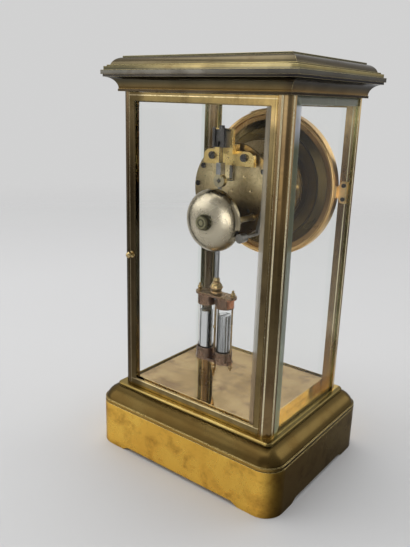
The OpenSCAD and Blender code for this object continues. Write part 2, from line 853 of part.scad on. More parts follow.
centre_r = 1.4;
wind_pivot_r = 1.2;
wind_pivot_short = 0.2;
pallet_hole_r = 2.1;

module back_plate() color(brass) difference() {
  rod_y(centre_p, rear_y, back_y, plate_r);
  for (p = oiled_pivots) translate([p[0], back_y - sink_d, zc + p[1]]) rotate([-90, 0, 0])
    cylinder(r1 = 2 * pivot_r, r2 = sink_r, h = sink_d + eps);
  for (p = train_pivots) back_hole(p, pivot_r);
  back_hole(hammer_p, arbor_r);
  back_hole(pallet_p, pallet_hole_r);
  for (p = [going_p, strike_p]) back_hole(p, wind_pivot_r);
  for (p = concat(pillar_places, cock_places, [stand_p])) back_hole(p, screw_r);
}

module pillars() color(brass) for (p = pillar_places) difference() {
  waist = pillar_r * 0.8;
  turned_y(p) {
    translate([0, inner_y]) square([waist, plate_gap]);
    translate([0, inner_y]) square([pillar_r, pillar_foot]);
    translate([0, rear_y - pillar_foot]) square([pillar_r, pillar_foot]);
    translate([waist, inner_y + plate_gap / 2]) circle(pillar_r - waist);
  }
  rod_y(p, inner_y - over, inner_y + pillar_screw + over, screw_r + fit);
  rod_y(p, rear_y - pillar_screw - over, rear_y + over, screw_r + fit);
}

module pillar_screws() for (p = pillar_places) {
  screw_head(p, back_y, pillar_head_r, pillar_head_h, 1);
  rod_y(p, rear_y - pillar_screw, back_y + eps, screw_r);
  screw_head(p, plate_y - pillar_head_h, pillar_head_r, pillar_head_h, -1);
  rod_y(p, plate_y - eps, inner_y + pillar_screw, screw_r);
}

click_r = 1.7;
click_len = 6.2;
click_w = 1.6;
click_t = 1.2;
click_p = going_p + polar(ratchet_r + 2.5 * click_r, 18);
click_lift = 0.8;
click_y = plate_y - click_t - click_lift;
click_turn = 28;

// Ratchet clicks, one each side, held just clear of the teeth
module clicks() color(steel) for (side = [0, 1]) mirror([side, 0, 0]) {
  plate_shape(click_y, click_y + click_t) difference() {
    union() {
      translate(click_p) circle(click_r);
      translate(click_p) rotate(aim(click_p, going_p) + click_turn) translate([0, -click_w / 2])
        square([click_len, click_w]);
    }
    translate(going_p) circle(ratchet_r + click_gap);
  }
  rod_y(click_p, click_y + click_t - eps, inner_y - screw_end, stud_r);
}

// Cock and suspension

cock_half = 7;
cock_post_r = 3.4;
upright_in = 5;
upright_t = 2.4;
upright_h = 16;
upright_y = pend_y - upright_in;
ledge_rise = 3;
ledge_z = pivot_z + ledge_rise;
ledge_h = 6;
block_y = upright_y + upright_t;
block_rise = 7.3;
block_z = pivot_z + block_rise;
block_w = 10.8;
block_d = 5.2;
block_h = 11;
strip_w = 1.8;
strip_t = 1.4;
strip_out = 3.6;
slit_w = 1.8;
slit_h = 3.5;
spring_t = 0.24;
spring_w = 4;
spring_above = 9;
spring_below = 4;
chop_w = 3.6;
chop_d = 5.2;
chop_h = 9.6;

module back_cock() color("gold") difference() {
  union() {
    plate_shape(cock_y, cock_y + cock_t) {
      translate([0, cock_low + cock_w / 2]) bar_outline(cock_reach, cock_w);
      translate([-cock_reach, cock_low]) square([2 * cock_reach, cock_w / 2]);
    }
    for (p = cock_places) rod_y(p, back_y, cock_y + eps, cock_post_r);
    translate([-cock_half, cock_y, ledge_z])
      cube([2 * cock_half, upright_y - cock_y + upright_t, ledge_h]);
    translate([-cock_half, upright_y, ledge_z]) cube([2 * cock_half, upright_t, upright_h]);
  }
  rod_y(pallet_p, back_y, cock_y + cock_t + over, pivot_r + fit);
  for (p = cock_places) rod_y(p, back_y - over, cock_y + cock_t + over, screw_r + fit);
}

module cock_screws() for (p = cock_places) {
  screw_head(p, cock_y + cock_t, cock_head_r, cock_head_h, 1);
  rod_y(p, rear_y + screw_end, cock_y + cock_t + eps, screw_r);
}

module movement_screws() color(steel) {
  pillar_screws();
  cock_screws();
}

module suspension_block() color("dimgray") difference() {
  union() {
    translate([-block_w / 2, block_y, block_z]) cube([block_w, block_d, block_h]);
    for (s = [-1, 1]) translate([s * strip_out - strip_w / 2, block_y + block_d - eps, block_z])
      cube([strip_w, strip_t, block_h + strip_t]);
    translate([0, block_y + block_d / 2, block_z + block_h - eps]) cylinder(r = strip_w, h = block_d / 2);
  }
  translate([-slit_w / 2, block_y - over, block_z - over]) cube([slit_w, 2 * block_d, slit_h + over]);
}

// Going train

module ratchet_outline() {
  teeth = 18;
  deep = 0.9;
  lean = 0.08;
  polygon([for (i = [0 : teeth - 1], k = [[ratchet_r - deep, 0], [ratchet_r, lean]])
    polar(k[0], (i + k[1]) * 360 / teeth)]);
}

square_out = 0.6;
barrel_end = 1;
great_bore = 0.3;

// A winding arbor with its square, ratchet and pivots
module winding_arbor(p) color(steel) {
  square_y = dial_y - dial_t - square_out;
  rod_y(p, click_y, rear_y - end_play, wind_r);
  rod_y(p, rear_y - end_play - eps, back_y - wind_pivot_short, wind_pivot_r);
  plate_shape(click_y, click_y + click_t) translate(p) ratchet_outline();
  translate([p[0], square_y, zc + p[1]]) rotate([-90, 0, 0]) rotate(45)
    cylinder(r = wind_r * 0.95, h = click_y + eps - square_y, $fn = 4);
}

module barrel(p, phase) color(brass) {
  turned_y(p) {
    translate([barrel_r - barrel_wall, barrel_y]) square([barrel_wall, barrel_len]);
    translate([wind_r + fit, barrel_y]) square([barrel_r - wind_r - fit, barrel_end]);
    translate([wind_r + fit, barrel_y + barrel_len - barrel_end])
      square([barrel_r - wind_r - fit, barrel_end + great_gap + eps]);
  }
  plate_shape(great_y, great_y + great_t) translate(p) rotate(phase) difference() {
    gear_outline(great_n, great_m);
    circle(wind_r + fit + great_bore);
  }
}

// A ribbon wound in a spiral between the arbor and the barrel wall
module mainspring(p) color(steel) {
  turns = 6;
  ribbon = 0.35;
  room = 0.5;
  inner = wind_r + room;
  outer = barrel_r - barrel_wall - room;
  sides = 20;
  count = turns * sides;
  path = [for (i = [0 : count]) [inner + (outer - inner) * i / count, 360 * i / sides]];
  plate_shape(barrel_y + barrel_end + room, barrel_y + barrel_len - barrel_end - room) translate(p)
    polygon(concat([for (q = path) polar(q[0], q[1])],
      [for (i = [0 : count]) polar(path[count - i][0] - ribbon, path[count - i][1])]));
}

module going_winding_arbor() winding_arbor(going_p);
module going_barrel() barrel(going_p, going_ph);
module going_mainspring() mainspring(going_p);

module intermediate_wheel() color(brass) {
  arbor(inter_p, arbor_r);
  wheel(inter_p, second_y, second_n, second_m, inter_ph, hub_r);
  meshed_pinion(inter_p, great_y, great_t, leaves_large, great_m, inter_ph);
}

module centre_wheel() color(brass) {
  rod_y(centre_p, inner_y + end_play, rear_y - end_play, arbor_r * 1.2);
  rod_y(centre_p, rear_y - end_play - eps, back_y - pivot_short, pivot_r);
  rod_y(centre_p, hand_y - hand_t, inner_y + end_play + eps, centre_r);
  wheel(centre_p, centre_y, centre_n, train_m, 0, hub_r);
  meshed_pinion(centre_p, second_y, wheel_t, leaves_large, second_m, centre_pinion_ph);
  pinion(centre_p, motion_y, motion_y + cannon_len, cannon_n, motion_m, 0);
}

module third_wheel() color(brass) {
  arbor(third_p, slim_r);
  wheel(third_p, third_y, third_n, train_m, 0, hub_r);
  meshed_pinion(third_p, centre_y, wheel_t, leaves_mid, train_m, third_pinion_ph);
}

module escape_wheel() color(brass) {
  spoke = 1;
  root = escape_r - spoke;
  arbor(escape_p, slim_r);
  plate_shape(escape_y, escape_y + wheel_t) translate(escape_p) difference() {
    polygon([for (i = [0 : escape_n - 1], k = [[root, 0], [escape_r, 0.55], [escape_r, 0.65], [root, 0.7]])
      polar(k[0], (i + k[1]) * 360 / escape_n)]);
    difference() {
      circle(root - spoke);
      circle(slim_hub_r);
      square([2 * root, spoke], center = true);
      square([spoke, 2 * root], center = true);
    }
  }
  meshed_pinion(escape_p, third_y, wheel_t, leaves_small, train_m, escape_pinion_ph);
}

// The anchor spans the escape wheel; its pallets stay off the tips through the whole swing
module anchor() color(steel) {
  clear_r = escape_r + 0.7;
  pallet_a = 52;
  pallet_out = 0.9;
  pallet_size = [1.9, 2.2];
  arm_w = 1.6;
  plate_shape(escape_y, escape_y + wheel_t) difference() {
    union() {
      translate(pallet_p) circle(hub_r);
      for (s = [-1, 1]) {
        tip = escape_p + polar(clear_r + pallet_out, 90 + s * pallet_a);
        translate(pallet_p) rotate(aim(pallet_p, tip)) translate([0, -arm_w / 2])
          square([norm(tip - pallet_p), arm_w]);
        translate(tip) rotate(90 + s * pallet_a) square(pallet_size, center = true);
      }
    }
    translate(escape_p) circle(clear_r);
  }
  rod_y(pallet_p, inner_y + end_play, cock_y - end_play, arbor_r);
  front_pivot(pallet_p);
  rod_y(pallet_p, cock_y - end_play - eps, cock_y + cock_t - pivot_short, pivot_r);
}

crutch_lift = 0.8;
crutch_y = back_y + crutch_lift;
crutch_w = 2.2;
crutch_end = 1.2;
crutch_t = 1.5;
crutch_pin_r = 0.8;
crutch_play = 0.4;

module crutch() color(steel) {
  plate_shape(crutch_y, crutch_y + crutch_t) translate(pallet_p) difference() {
    union() {
      circle(hub_r);
      translate([-crutch_w / 2, -disc_drop - crutch_end]) square([crutch_w, disc_drop + crutch_end]);
    }
    circle(arbor_r + fit);
  }
  rod_y(pallet_p - [0, disc_drop], crutch_y, pend_y + disc_t / 2 + crutch_play, crutch_pin_r);
}

// Motion work and hands

hand_gap = 2.2;
hand_y = dial_y - dial_t - hand_gap;
hand_t = 0.6;
hand_pitch = 0.9;
hand_tip = 0.6;
hand_boss = 1.1;
hand_tail = 6;
hour_hand_w = 2.6;
minute_hand_w = 2;
hand_nut_h = 1.1;
pipe_r = 2.4;
pipe_wall = 0.8;
cannon_len = 2.4;
minute_lift = 0.6;

module minute_wheel() color(brass) {
  wheel(minute_p, motion_y + minute_lift, minute_n, motion_m, minute_ph, pipe_r);
  pinion(minute_p, hour_y - pivot_short, motion_y + minute_lift + eps, minute_leaves, hour_m, 0);
  rod_y(minute_p, motion_y, inner_y - screw_end, stud_r);
}

module hour_wheel() color(brass) difference() {
  union() {
    wheel(centre_p, hour_y, hour_n, hour_m, hour_ph, pipe_r + pipe_wall);
    rod_y(centre_p, hand_y + hand_pitch, hour_y + wheel_t, pipe_r);
  }
  rod_y(centre_p, hand_y, hour_y + wheel_t + over, centre_r + fit);
}

// A tapered hand with a round boss and a ring near its tip, pointing up
module hand_outline(length, width, bore) {
  ring_at = length * 0.72;
  difference() {
    union() {
      circle(bore + hand_boss);
      polygon([[-width / 2, 0], [width / 2, 0], [hand_tip / 2, length], [-hand_tip / 2, length]]);
      translate([0, ring_at]) circle(width * 1.1);
      translate([-width / 4, -bore - hand_tail]) square([width / 2, hand_tail]);
    }
    circle(bore);
    translate([0, ring_at]) circle(width * 0.6);
  }
}

module hour_hand() color("midnightblue") plate_shape(hand_y + hand_pitch, hand_y + hand_pitch + hand_t)
  rotate(-60) hand_outline(dial_r * 0.54, hour_hand_w, pipe_r + fit);

module minute_hand() color("midnightblue") plate_shape(hand_y, hand_y + hand_t)
  hand_outline(dial_r * 0.8, minute_hand_w, centre_r + fit);

module hand_nut() color(brass) difference() {
  rod_y(centre_p, hand_y - hand_nut_h, hand_y, centre_r + pipe_wall);
  rod_y(centre_p, hand_y - hand_t - fit, hand_y + over, centre_r + fit);
}

// Striking train

module strike_winding_arbor() winding_arbor(strike_p);
module strike_barrel() barrel(strike_p, strike_ph);
module strike_mainspring() mainspring(strike_p);

module strike_second_wheel() color(brass) {
  arbor(second_p, arbor_r);
  wheel(second_p, second_y, second_n, second_m, 0, hub_r);
  meshed_pinion(second_p, great_y, great_t, leaves_large, great_m, 0);
}

lift_ring_r = 5.4;
lift_pin_r = 0.4;
lift_pin_out = 1.3;
vane_w = 8.4;
vane_t = 0.5;
vane_hub_r = 1.2;

module pin_wheel() color(brass) {
  arbor(pin_p, arbor_r);
  lift_pins = 10;
  wheel(pin_p, third_y, pin_n, pin_m, 0, hub_r);
  meshed_pinion(pin_p, second_y, wheel_t, leaves_large, second_m, pin_pinion_ph);
  for (i = [0 : lift_pins - 1])
    rod_y(pin_p + polar(lift_ring_r, 360 * i / lift_pins), third_y, third_y + wheel_t + lift_pin_out,
      lift_pin_r);
}

module locking_wheel() color(brass) {
  arbor(lock_p, slim_r);
  wheel(lock_p, lock_y, lock_n, lock_m, 0, slim_hub_r);
  meshed_pinion(lock_p, third_y, wheel_t, leaves_mid, pin_m, lock_pinion_ph);
}

module fly() color(brass) {
  arbor(fly_p, slim_r);
  meshed_pinion(fly_p, lock_y, wheel_t, leaves_mid, lock_m, fly_pinion_ph);
  plate_shape(fly_y, fly_y + fly_len) translate(fly_p) {
    square([vane_w, vane_t], center = true);
    circle(vane_hub_r);
  }
}

bell_p = [0, -bell_drop];
hammer_a = 200;
hammer_gap = 0.6;
hammer_tip = bell_p + polar(bell_r + hammer_r + hammer_gap, hammer_a);
hammer_arm_y = back_y + 1.4;
hammer_arm_t = 2;
hammer_arm_w = 1.8;
hammer_hub_r = 2.2;
hammer_neck_r = 1;
hammer_in = 2;
hammer_out = 4;

// Hammer on an arbor through the plates, its head beside the bell's rim
module hammer() color(steel) {
  reach = norm(hammer_tip - hammer_p);
  rod_y(hammer_p, inner_y + end_play, hammer_arm_y + hammer_arm_t + pivot_short, arbor_r);
  front_pivot(hammer_p);
  plate_shape(hammer_arm_y, hammer_arm_y + hammer_arm_t) translate(hammer_p) {
    circle(hammer_hub_r);
    rotate(aim(hammer_p, hammer_tip)) translate([0, -hammer_arm_w / 2]) square([reach, hammer_arm_w]);
  }
  rod_y(hammer_tip, hammer_arm_y, bell_y, hammer_neck_r);
  rod_y(hammer_tip, bell_y - hammer_in, bell_y + hammer_out, hammer_r);
}

// Half of the bell's section: a flattened dome with a rolled foot
function dome(r, h, t) = [r * pow(cos(t), 0.75), h * pow(sin(t), 0.85)];

module bell() color("silver") difference() {
  turned_y(bell_p) translate([0, bell_y]) difference() {
    polygon(concat([[0, 0]], [for (t = [0 : 5 : 85]) dome(bell_r, bell_h, t)], [[0, bell_h]]));
    polygon(concat([[0, -over], [bell_r - bell_wall, -over]],
      [for (t = [0 : 5 : 85]) dome(bell_r - bell_wall, bell_h - bell_wall, t)], [[0, bell_h - bell_wall]]));
  }
  rod_y(bell_p, bell_y, stud_y + over, stand_stud_r + fit);
}

stand_stud_r = 1.3;
stand_arm_w = 2.8;
stand_arm_t = 2;
stand_arm_gap = 1.1;
stand_arm_y = pend_y + rod_r + stand_arm_gap;

// A pillar on the back plate carries an arm behind the pendulum to the bell's stud
module bell_stand() color(brass) {
  rod_y(stand_p, rear_y + screw_end, back_y + eps, screw_r);
  rod_y(stand_p, back_y, stand_arm_y + stand_arm_t, stand_r * 0.75);
  rod_y(stand_p, back_y, back_y + stand_arm_t, stand_r);
  plate_shape(stand_arm_y, stand_arm_y + stand_arm_t) {
    translate(stand_p) circle(stand_r);
    translate(stand_p) rotate(aim(stand_p, bell_p)) translate([0, -stand_arm_w / 2])
      square([norm(bell_p - stand_p), stand_arm_w]);
    translate(bell_p) circle(stand_r);
  }
  rod_y(bell_p, stand_arm_y, stud_y - bell_wall - fit, stand_r);
  rod_y(bell_p, stand_arm_y, stud_y + nut_h - nut_washer - fit, stand_stud_r);
}

nut_washer = 0.6;
nut_ribs = 36;
nut_groove = 0.4;

// Milled nut on a washer
module bell_nut() color(dark_brass) difference() {
  union() {
    turned_y(bell_p) translate([0, stud_y]) {
      square([nut_r * 0.8, nut_h]);
      square([nut_r * 1.15, nut_washer]);
    }
    plate_shape(stud_y + nut_washer - eps, stud_y + nut_h - nut_washer) translate(bell_p)
      gear_outline(nut_ribs, 2 * nut_r / (nut_ribs + 1.5));
  }
  rod_y(bell_p, stud_y - over, stud_y + nut_h - nut_washer, stand_stud_r + fit);
  turned_y(bell_p) translate([nut_r * 0.38, stud_y + nut_h - nut_groove]) square([nut_r * 0.16, over]);
}

// Pendulum

module at_pendulum(z) translate([0, pend_y, z]) children();

// Steel strip that bends at the pivot, with its chop below
module suspension_spring() color("lightgray") {
  translate([-spring_t / 2, pend_y - spring_w / 2, pivot_z - spring_below])
    cube([spring_t, spring_w, spring_below + spring_above]);
}

module pendulum_rod() color(steel) difference() {
  union() {
    translate([-chop_w / 2, pend_y - chop_d / 2, pivot_z - disc_drop + disc_r / 2])
      cube([chop_w, chop_d, chop_h]);
    rod_y(pallet_p - [0, disc_drop], pend_y - disc_t / 2, pend_y + disc_t / 2, disc_r);
    at_pendulum(rod_z) cylinder(r = rod_r, h = pivot_z - disc_drop - disc_r / 2 - rod_z);
  }
  translate([-spring_t / 2 - fit, pend_y - spring_w / 2 - fit, pivot_z - spring_below - fit])
    cube([spring_t + 2 * fit, spring_w + 2 * fit, chop_h]);
  translate([0, pend_y, pivot_z - disc_drop]) rotate([90, 0, 0]) rotate(45)
    linear_extrude(4 * disc_t, center = true) square(2 * (crutch_pin_r + crutch_play), center = true);
}

module bar_outline(half, width) {
  square([2 * half - width, width], center = true);
  for (s = [-1, 1]) translate([s * (half - width / 2), 0]) circle(width / 2);
}

// A turned finial of the given height that stands on the bar
module finial(r, h) rotate_extrude() {
  square([r * 0.45, h * 0.9]);
  square([r * 0.75, h * 0.12]);
  intersection() {
    translate([0, h * 0.38]) circle(r);
    square([r, h]);
  }
  intersection() {
    translate([0, h * 0.82]) circle(r * 0.55);
    square([r, h]);
  }
}

side_half = side_pitch / 2;
finial_r = 4.2;
finial_h = 12;

// Bars, caps, side rods and turned ornaments that hold the two jars
module jar_frame() color(copper) difference() {
  union() {
    at_pendulum(bob_z - bar_t) linear_extrude(bar_t) bar_outline(side_half + bar_end, bar_w * 0.86);
    at_pendulum(frame_z) linear_extrude(bar_t) bar_outline(side_half + bar_end / 2, bar_w * 0.8);
    for (s = [-1, 1]) at_pendulum(0) translate([s * jar_pitch / 2, 0, 0]) {
      translate([0, 0, bob_z - bar_t - cap_len]) cylinder(r = bar_w / 2, h = cap_len + eps);
      translate([0, 0, frame_z]) cylinder(r = bar_w / 2, h = cap_len + bar_t);
    }
    for (s = [-1, 1]) at_pendulum(0) translate([s * side_half, 0, 0]) {
      translate([0, 0, frame_z]) cylinder(r = side_r, h = bob_z - frame_z);
      translate([0, 0, bob_z]) finial(stud_finial_r, 3 * stud_finial_r);
      translate([0, 0, frame_z]) mirror([0, 0, 1]) finial(stud_finial_r, 3 * stud_finial_r);
    }
    at_pendulum(bob_z) finial(finial_r, finial_h);
    at_pendulum(frame_z) cylinder(r = side_r * 1.3, h = bob_z - frame_z);
    at_pendulum((bob_z + frame_z) / 2) sphere(side_r * 2.4);
    at_pendulum(frame_z) mirror([0, 0, 1]) drop();
  }
  for (s = [-1, 1]) at_pendulum(jar_z - fit) translate([s * jar_pitch / 2, 0, 0])
    cylinder(r = jar_r + fit, h = jar_len + 2 * fit);
  at_pendulum(rod_z - fit) cylinder(r = rod_r + fit, h = pivot_z - rod_z);
}

// Ball and spike under the bottom bar
module drop() rotate_extrude() {
  ball = drop_len * 0.186;
  square([ball * 0.46, ball]);
  intersection() {
    translate([0, ball]) circle(ball);
    square([ball, 2 * ball]);
  }
  polygon([[0, ball], [ball * 0.58, ball * 1.77], [ball * 0.77, ball * 2.23], [ball * 0.1, drop_len],
    [0, drop_len]]);
}

module mercury_jars() color("azure", 0.5) for (s = [-1, 1])
  at_pendulum(jar_z) translate([s * jar_pitch / 2, 0, 0]) difference() {
    cylinder(r = jar_r, h = jar_len);
    translate([0, 0, jar_wall]) cylinder(r = jar_r - jar_wall, h = jar_len);
  }

module mercury() color("silver") for (s = [-1, 1])
  at_pendulum(jar_z + jar_wall) translate([s * jar_pitch / 2, 0, 0])
    cylinder(r = jar_r - jar_wall - fit, h = mercury_h);

base_plinth();
floor_plate();
front_left_post();
front_right_post();
rear_left_post();
rear_right_post();
cornice_moulding();
top_cap();
left_pane();
right_pane();
case_screws();
rear_door_frame();
rear_door_glass();
rear_door_knob();
rear_door_pins();
front_door_frame();
front_door_glass();
front_door_knob();
front_door_pins();
dial_ring();
dial_lugs();
dial_pan();
dial();
front_plate();
back_plate();
pillars();
movement_screws();
clicks();
back_cock();
suspension_block();
going_winding_arbor();
going_barrel();
going_mainspring();
intermediate_wheel();
centre_wheel();
third_wheel();
escape_wheel();
anchor();
crutch();
minute_wheel();
hour_wheel();
hour_hand();
minute_hand();
hand_nut();
strike_winding_arbor();
strike_barrel();
strike_mainspring();
strike_second_wheel();
pin_wheel();
locking_wheel();
fly();
hammer();
bell();
bell_stand();
bell_nut();
suspension_spring();
pendulum_rod();
jar_frame();
mercury_jars();
mercury();
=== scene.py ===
"""Looks of a four-glass mantel clock, seen from behind: toned brass case, bevelled glass, striking movement and
mercury pendulum.

Everything is in metres in the frame of the solids: X to the right seen from the dial, Y to the back door, Z up.
Places, heights and widths that a finish is given are in millimetres.
"""
import math

import bpy
import numpy as np
from mathutils import Matrix


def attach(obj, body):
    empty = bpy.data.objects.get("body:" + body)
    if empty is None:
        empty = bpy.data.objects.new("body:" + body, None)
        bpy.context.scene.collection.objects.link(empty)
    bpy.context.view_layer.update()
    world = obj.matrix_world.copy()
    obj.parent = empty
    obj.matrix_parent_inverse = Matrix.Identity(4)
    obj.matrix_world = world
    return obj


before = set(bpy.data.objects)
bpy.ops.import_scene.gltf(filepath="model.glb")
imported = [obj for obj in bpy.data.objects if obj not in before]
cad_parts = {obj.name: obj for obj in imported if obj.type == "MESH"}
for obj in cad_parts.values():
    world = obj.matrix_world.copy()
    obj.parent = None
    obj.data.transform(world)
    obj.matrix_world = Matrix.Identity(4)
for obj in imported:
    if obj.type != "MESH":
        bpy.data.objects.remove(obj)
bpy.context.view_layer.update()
MM = 0.001
PLAIN = (1.0, 1.0, 1.0)


def grey(level):
    """A colour with three equal shares."""
    return (level, level, level)


def share_of(colour, share):
    """A colour made darker by a share."""
    return tuple(share * c for c in colour)


def rubbed(colour, gain):
    """A colour as it looks where a metal is rubbed bright: multiplied and lifted a little, at most 1."""
    return tuple(min(1.0, gain * c + 0.05) for c in colour)


class Term:
    """One socket of a finish. Arithmetic on terms adds Math nodes, so a finish reads as a formula."""

    def __init__(self, finish, socket):
        self.finish, self.socket = finish, socket

    def math(self, operation, first, second=0.0):
        return self.finish.node("ShaderNodeMath", {"operation": operation}, {0: first, 1: second})

    def __add__(self, other): return self.math("ADD", self, other)
    def __radd__(self, other): return self.math("ADD", other, self)
    def __sub__(self, other): return self.math("SUBTRACT", self, other)
    def __rsub__(self, other): return self.math("SUBTRACT", other, self)
    def __mul__(self, other): return self.math("MULTIPLY", self, other)
    def __rmul__(self, other): return self.math("MULTIPLY", other, self)
    def __pow__(self, other): return self.math("POWER", self, other)
    def __abs__(self): return self.math("ABSOLUTE", self)


class Finish:
    """A node material, or the world's nodes, that formulas are written into."""

    def __init__(self, name, tree=None):
        self.material = None
        if tree is None:
            self.material = bpy.data.materials.new(name)
            self.material.use_nodes = True
            tree = self.material.node_tree
        self.tree = tree
        tree.nodes.clear()

    def node(self, kind, settings=None, inputs=None, out=0):
        """Adds a node: its settings first (stops are a ramp's colours), then values or links of its sockets."""
        made = self.tree.nodes.new(kind)
        for key, value in (settings or {}).items():
            if key == "stops":
                ramp = made.color_ramp.elements
                while len(ramp) < len(value):
                    ramp.new(0.5)
                for element, (place, colour) in zip(ramp, value):
                    element.position, element.color = place, (*colour, 1.0)
            else:
                setattr(made, key, value)
        for key, value in (inputs or {}).items():
            socket = made.inputs[key]
            if isinstance(value, Term):
                self.tree.links.new(value.socket, socket)
            elif isinstance(value, tuple) and len(value) == 3 and socket.type == "RGBA":
                socket.default_value = (*value, 1.0)
            else:
                socket.default_value = value
        return Term(self, made.outputs[out]) if len(made.outputs) else None

    def place(self):
        """The point of the object itself, in metres."""
        return self.node("ShaderNodeTexCoord", out="Object")

    def axes(self, point):
        """The three coordinates of a point."""
        first = self.node("ShaderNodeSeparateXYZ", inputs={0: point})
        outs = first.socket.node.outputs
        return Term(self, outs[0]), Term(self, outs[1]), Term(self, outs[2])

    def named_axes(self):
        """The three coordinates of the object's own point, by the letter of their axis."""
        return dict(zip("XYZ", self.axes(self.place())))

    def stretched(self, sx, sy, sz):
        """The point with each axis multiplied, so that a pattern is drawn out along the small one."""
        return self.node("ShaderNodeMapping", inputs={0: self.place(), 3: (sx, sy, sz)})

    def clouds(self, scale, detail=4.0, rough=0.55, warp=0.0, point=None):
        """Soft noise from 0 to 1 with scale lumps per metre."""
        return self.node("ShaderNodeTexNoise", inputs={"Vector": point or self.place(), "Scale": scale,
                         "Detail": detail, "Roughness": rough, "Distortion": warp})

    def streaks(self, drawn, detail=3.0, rough=0.6):
        """Soft noise drawn out along one axis; drawn gives the lumps per metre along each axis."""
        return self.clouds(1.0, detail, rough, point=self.stretched(*drawn))

    def step(self, value, low, high):
        """A smooth rise from 0 at low to 1 at high."""
        return self.node("ShaderNodeMapRange", {"interpolation_type": "SMOOTHSTEP"},
                         {"Value": value, "From Min": low, "From Max": high})

    def blend(self, share, first, second, mode="MIX"):
        """Two colours mixed by a share from 0 to 1."""
        return self.node("ShaderNodeMix", {"data_type": "RGBA", "blend_type": mode},
                         {0: share, 6: first, 7: second}, out=2)

    def bands(self, value, stops):
        """A colour that follows a length through stops of (millimetres, colour)."""
        low, high = stops[0][0], stops[-1][0]
        share = (value * (1.0 / MM) - low) * (1.0 / (high - low))
        places = [((at - low) / (high - low), colour) for at, colour in stops]
        return self.node("ShaderNodeValToRGB", {"stops": places}, {0: share})

    def tinted(self, body, tint):
        """A colour multiplied by another."""
        return self.blend(1.0, body, tint, "MULTIPLY")

    def tinted_where(self, zone, body, tint):
        """A colour multiplied by a tint where the zone is 1, and left as it is where it is 0."""
        return self.tinted(body, self.blend(zone, PLAIN, tint))

    def creases(self, reach):
        """How deep a point lies in a corner or groove, from 0 to 1, looking a short reach round it."""
        open_sky = self.node("ShaderNodeAmbientOcclusion", {"samples": 6, "only_local": True},
                             {"Distance": reach}, out="AO")
        return self.step(open_sky, 0.8, 0.35)

    def bump(self, height, strength, depth, normal=None):
        """A bump of the given depth in metres."""
        inputs = {"Height": height, "Strength": strength, "Distance": depth}
        if normal is not None:
            inputs["Normal"] = normal
        return self.node("ShaderNodeBump", inputs=inputs)

    def rounded(self, radius):
        """A normal that rounds the edges by a radius in metres, and how close an edge is, from 0 to 1."""
        soft = self.node("ShaderNodeBevel", {"samples": 4}, {"Radius": radius})
        true = self.node("ShaderNodeNewGeometry", out="True Normal")
        along = self.node("ShaderNodeVectorMath", {"operation": "DOT_PRODUCT"}, {0: soft, 1: true}, out="Value")
        return soft, self.step(along, 0.995, 0.8)

    def surface(self, **inputs):
        """The shader of the material; underscores in a name stand for spaces."""
        named = {key.replace("_", " "): value for key, value in inputs.items()}
        return self.node("ShaderNodeBsdfPrincipled", inputs=named)

    def mixed(self, share, first, second):
        """Two shaders mixed by a share from 0 to 1."""
        return self.node("ShaderNodeMixShader", inputs={0: share, 1: first, 2: second})

    def done(self, shader):
        """Joins a shader to the output and gives the material."""
        self.node("ShaderNodeOutputMaterial", inputs={"Surface": shader})
        return self.material


# Finishes


def toned_brass(name, bright, deep, stain, rub_and_highlight, grain, gloss, bands=None, mottle=0.6, calm=None, painted_light_zones=(),
                lines=(), relief=0.1, drawn=0.2, far=None):
    """Lacquered brass that has toned: clouds between a bright and a deep colour, brown stains, specks and fine
    scratches along the grain, dark in the creases and rubbed bright along the edges, which is partly wear and partly
    a painted highlight. Bands tint it by height, partly the tone of a moulding and partly painted shade and painted
    highlight, and between the two calm heights the stains fade upwards. Painted light zones are tinted, each by a
    rise between two places along X, a rise between two heights and its tint, which paints shade or a highlight.
    Lines are arrises rubbed bright, partly wear and partly a painted highlight, each an axis, a distance from the
    middle and a half width. Relief is how strong the bump is, and drawn how strong the streaks are. Far is painted
    shade: it tints all of it beyond a rise between two places along X. Roughness is gloss plus shares of these."""
    f = Finish(name)
    along = f.named_axes()
    x, z = along["X"], along["Z"]
    soft, edge = f.rounded(0.45 * MM)
    crease = f.creases(1.6 * MM)
    cloud = f.clouds(34.0, 4.0, 0.58, 0.25)
    broad = f.clouds(10.0, 2.0, 0.5, 0.2)
    speck = f.step(f.clouds(900.0, 2.0, 0.5), 0.66, 0.76)
    streak = f.streaks(grain)
    patch = f.step(f.clouds(62.0, 6.0, 0.66, 0.3), 0.46, 0.72)
    if calm:
        patch = patch * (0.2 + 0.8 * f.step(z, calm[1] * MM, calm[0] * MM))
    tone = f.step(cloud * 0.5 + broad * 0.5, 0.4, 0.62)
    body = f.blend(tone, bright, deep)
    body = f.blend(patch * mottle, body, stain)
    body = f.blend(speck * 0.45, body, share_of(stain, 0.5))
    body = f.blend(f.step(streak, 0.35, 0.75) * drawn, body, bright)
    # Bands: tone by height with painted shade and painted highlight
    if bands:
        body = f.tinted(body, f.bands(z, bands))
    # Painted shade or painted highlight in each zone
    for start, end, low, high, tint in painted_light_zones:
        zone = f.step(x, start * MM, end * MM) * f.step(z, low * MM, high * MM)
        body = f.tinted_where(zone, body, tint)
    body = f.blend(crease * 0.75, body, share_of(rub_and_highlight, 0.06))
    # Edges rubbed bright: partly wear and partly a painted highlight
    body = f.blend(edge * (1.0 - crease) * 0.85, body, rub_and_highlight)
    # Arrises rubbed bright: partly wear and partly a painted highlight
    for axis, place, half in lines:
        off = abs(abs(along[axis]) - place * MM)
        worn = f.step(off, half * MM, 0.4 * half * MM) * f.step(broad + streak, 0.55, 1.0)
        body = f.blend(worn, body, rub_and_highlight)
    # Painted shade over the far side
    if far:
        start, end, tint = far
        body = f.tinted_where(f.step(x, start * MM, end * MM), body, tint)
    rough = gloss + 0.12 * patch + 0.06 * tone + 0.1 * speck + 0.1 * crease
    normal = f.bump(streak * 0.6 + cloud * 0.4, relief, 0.1 * MM, soft)
    return f.done(f.surface(Base_Color=body, Metallic=1.0, Roughness=rough, Normal=normal,
                            Specular_Tint=grey(0.6)))


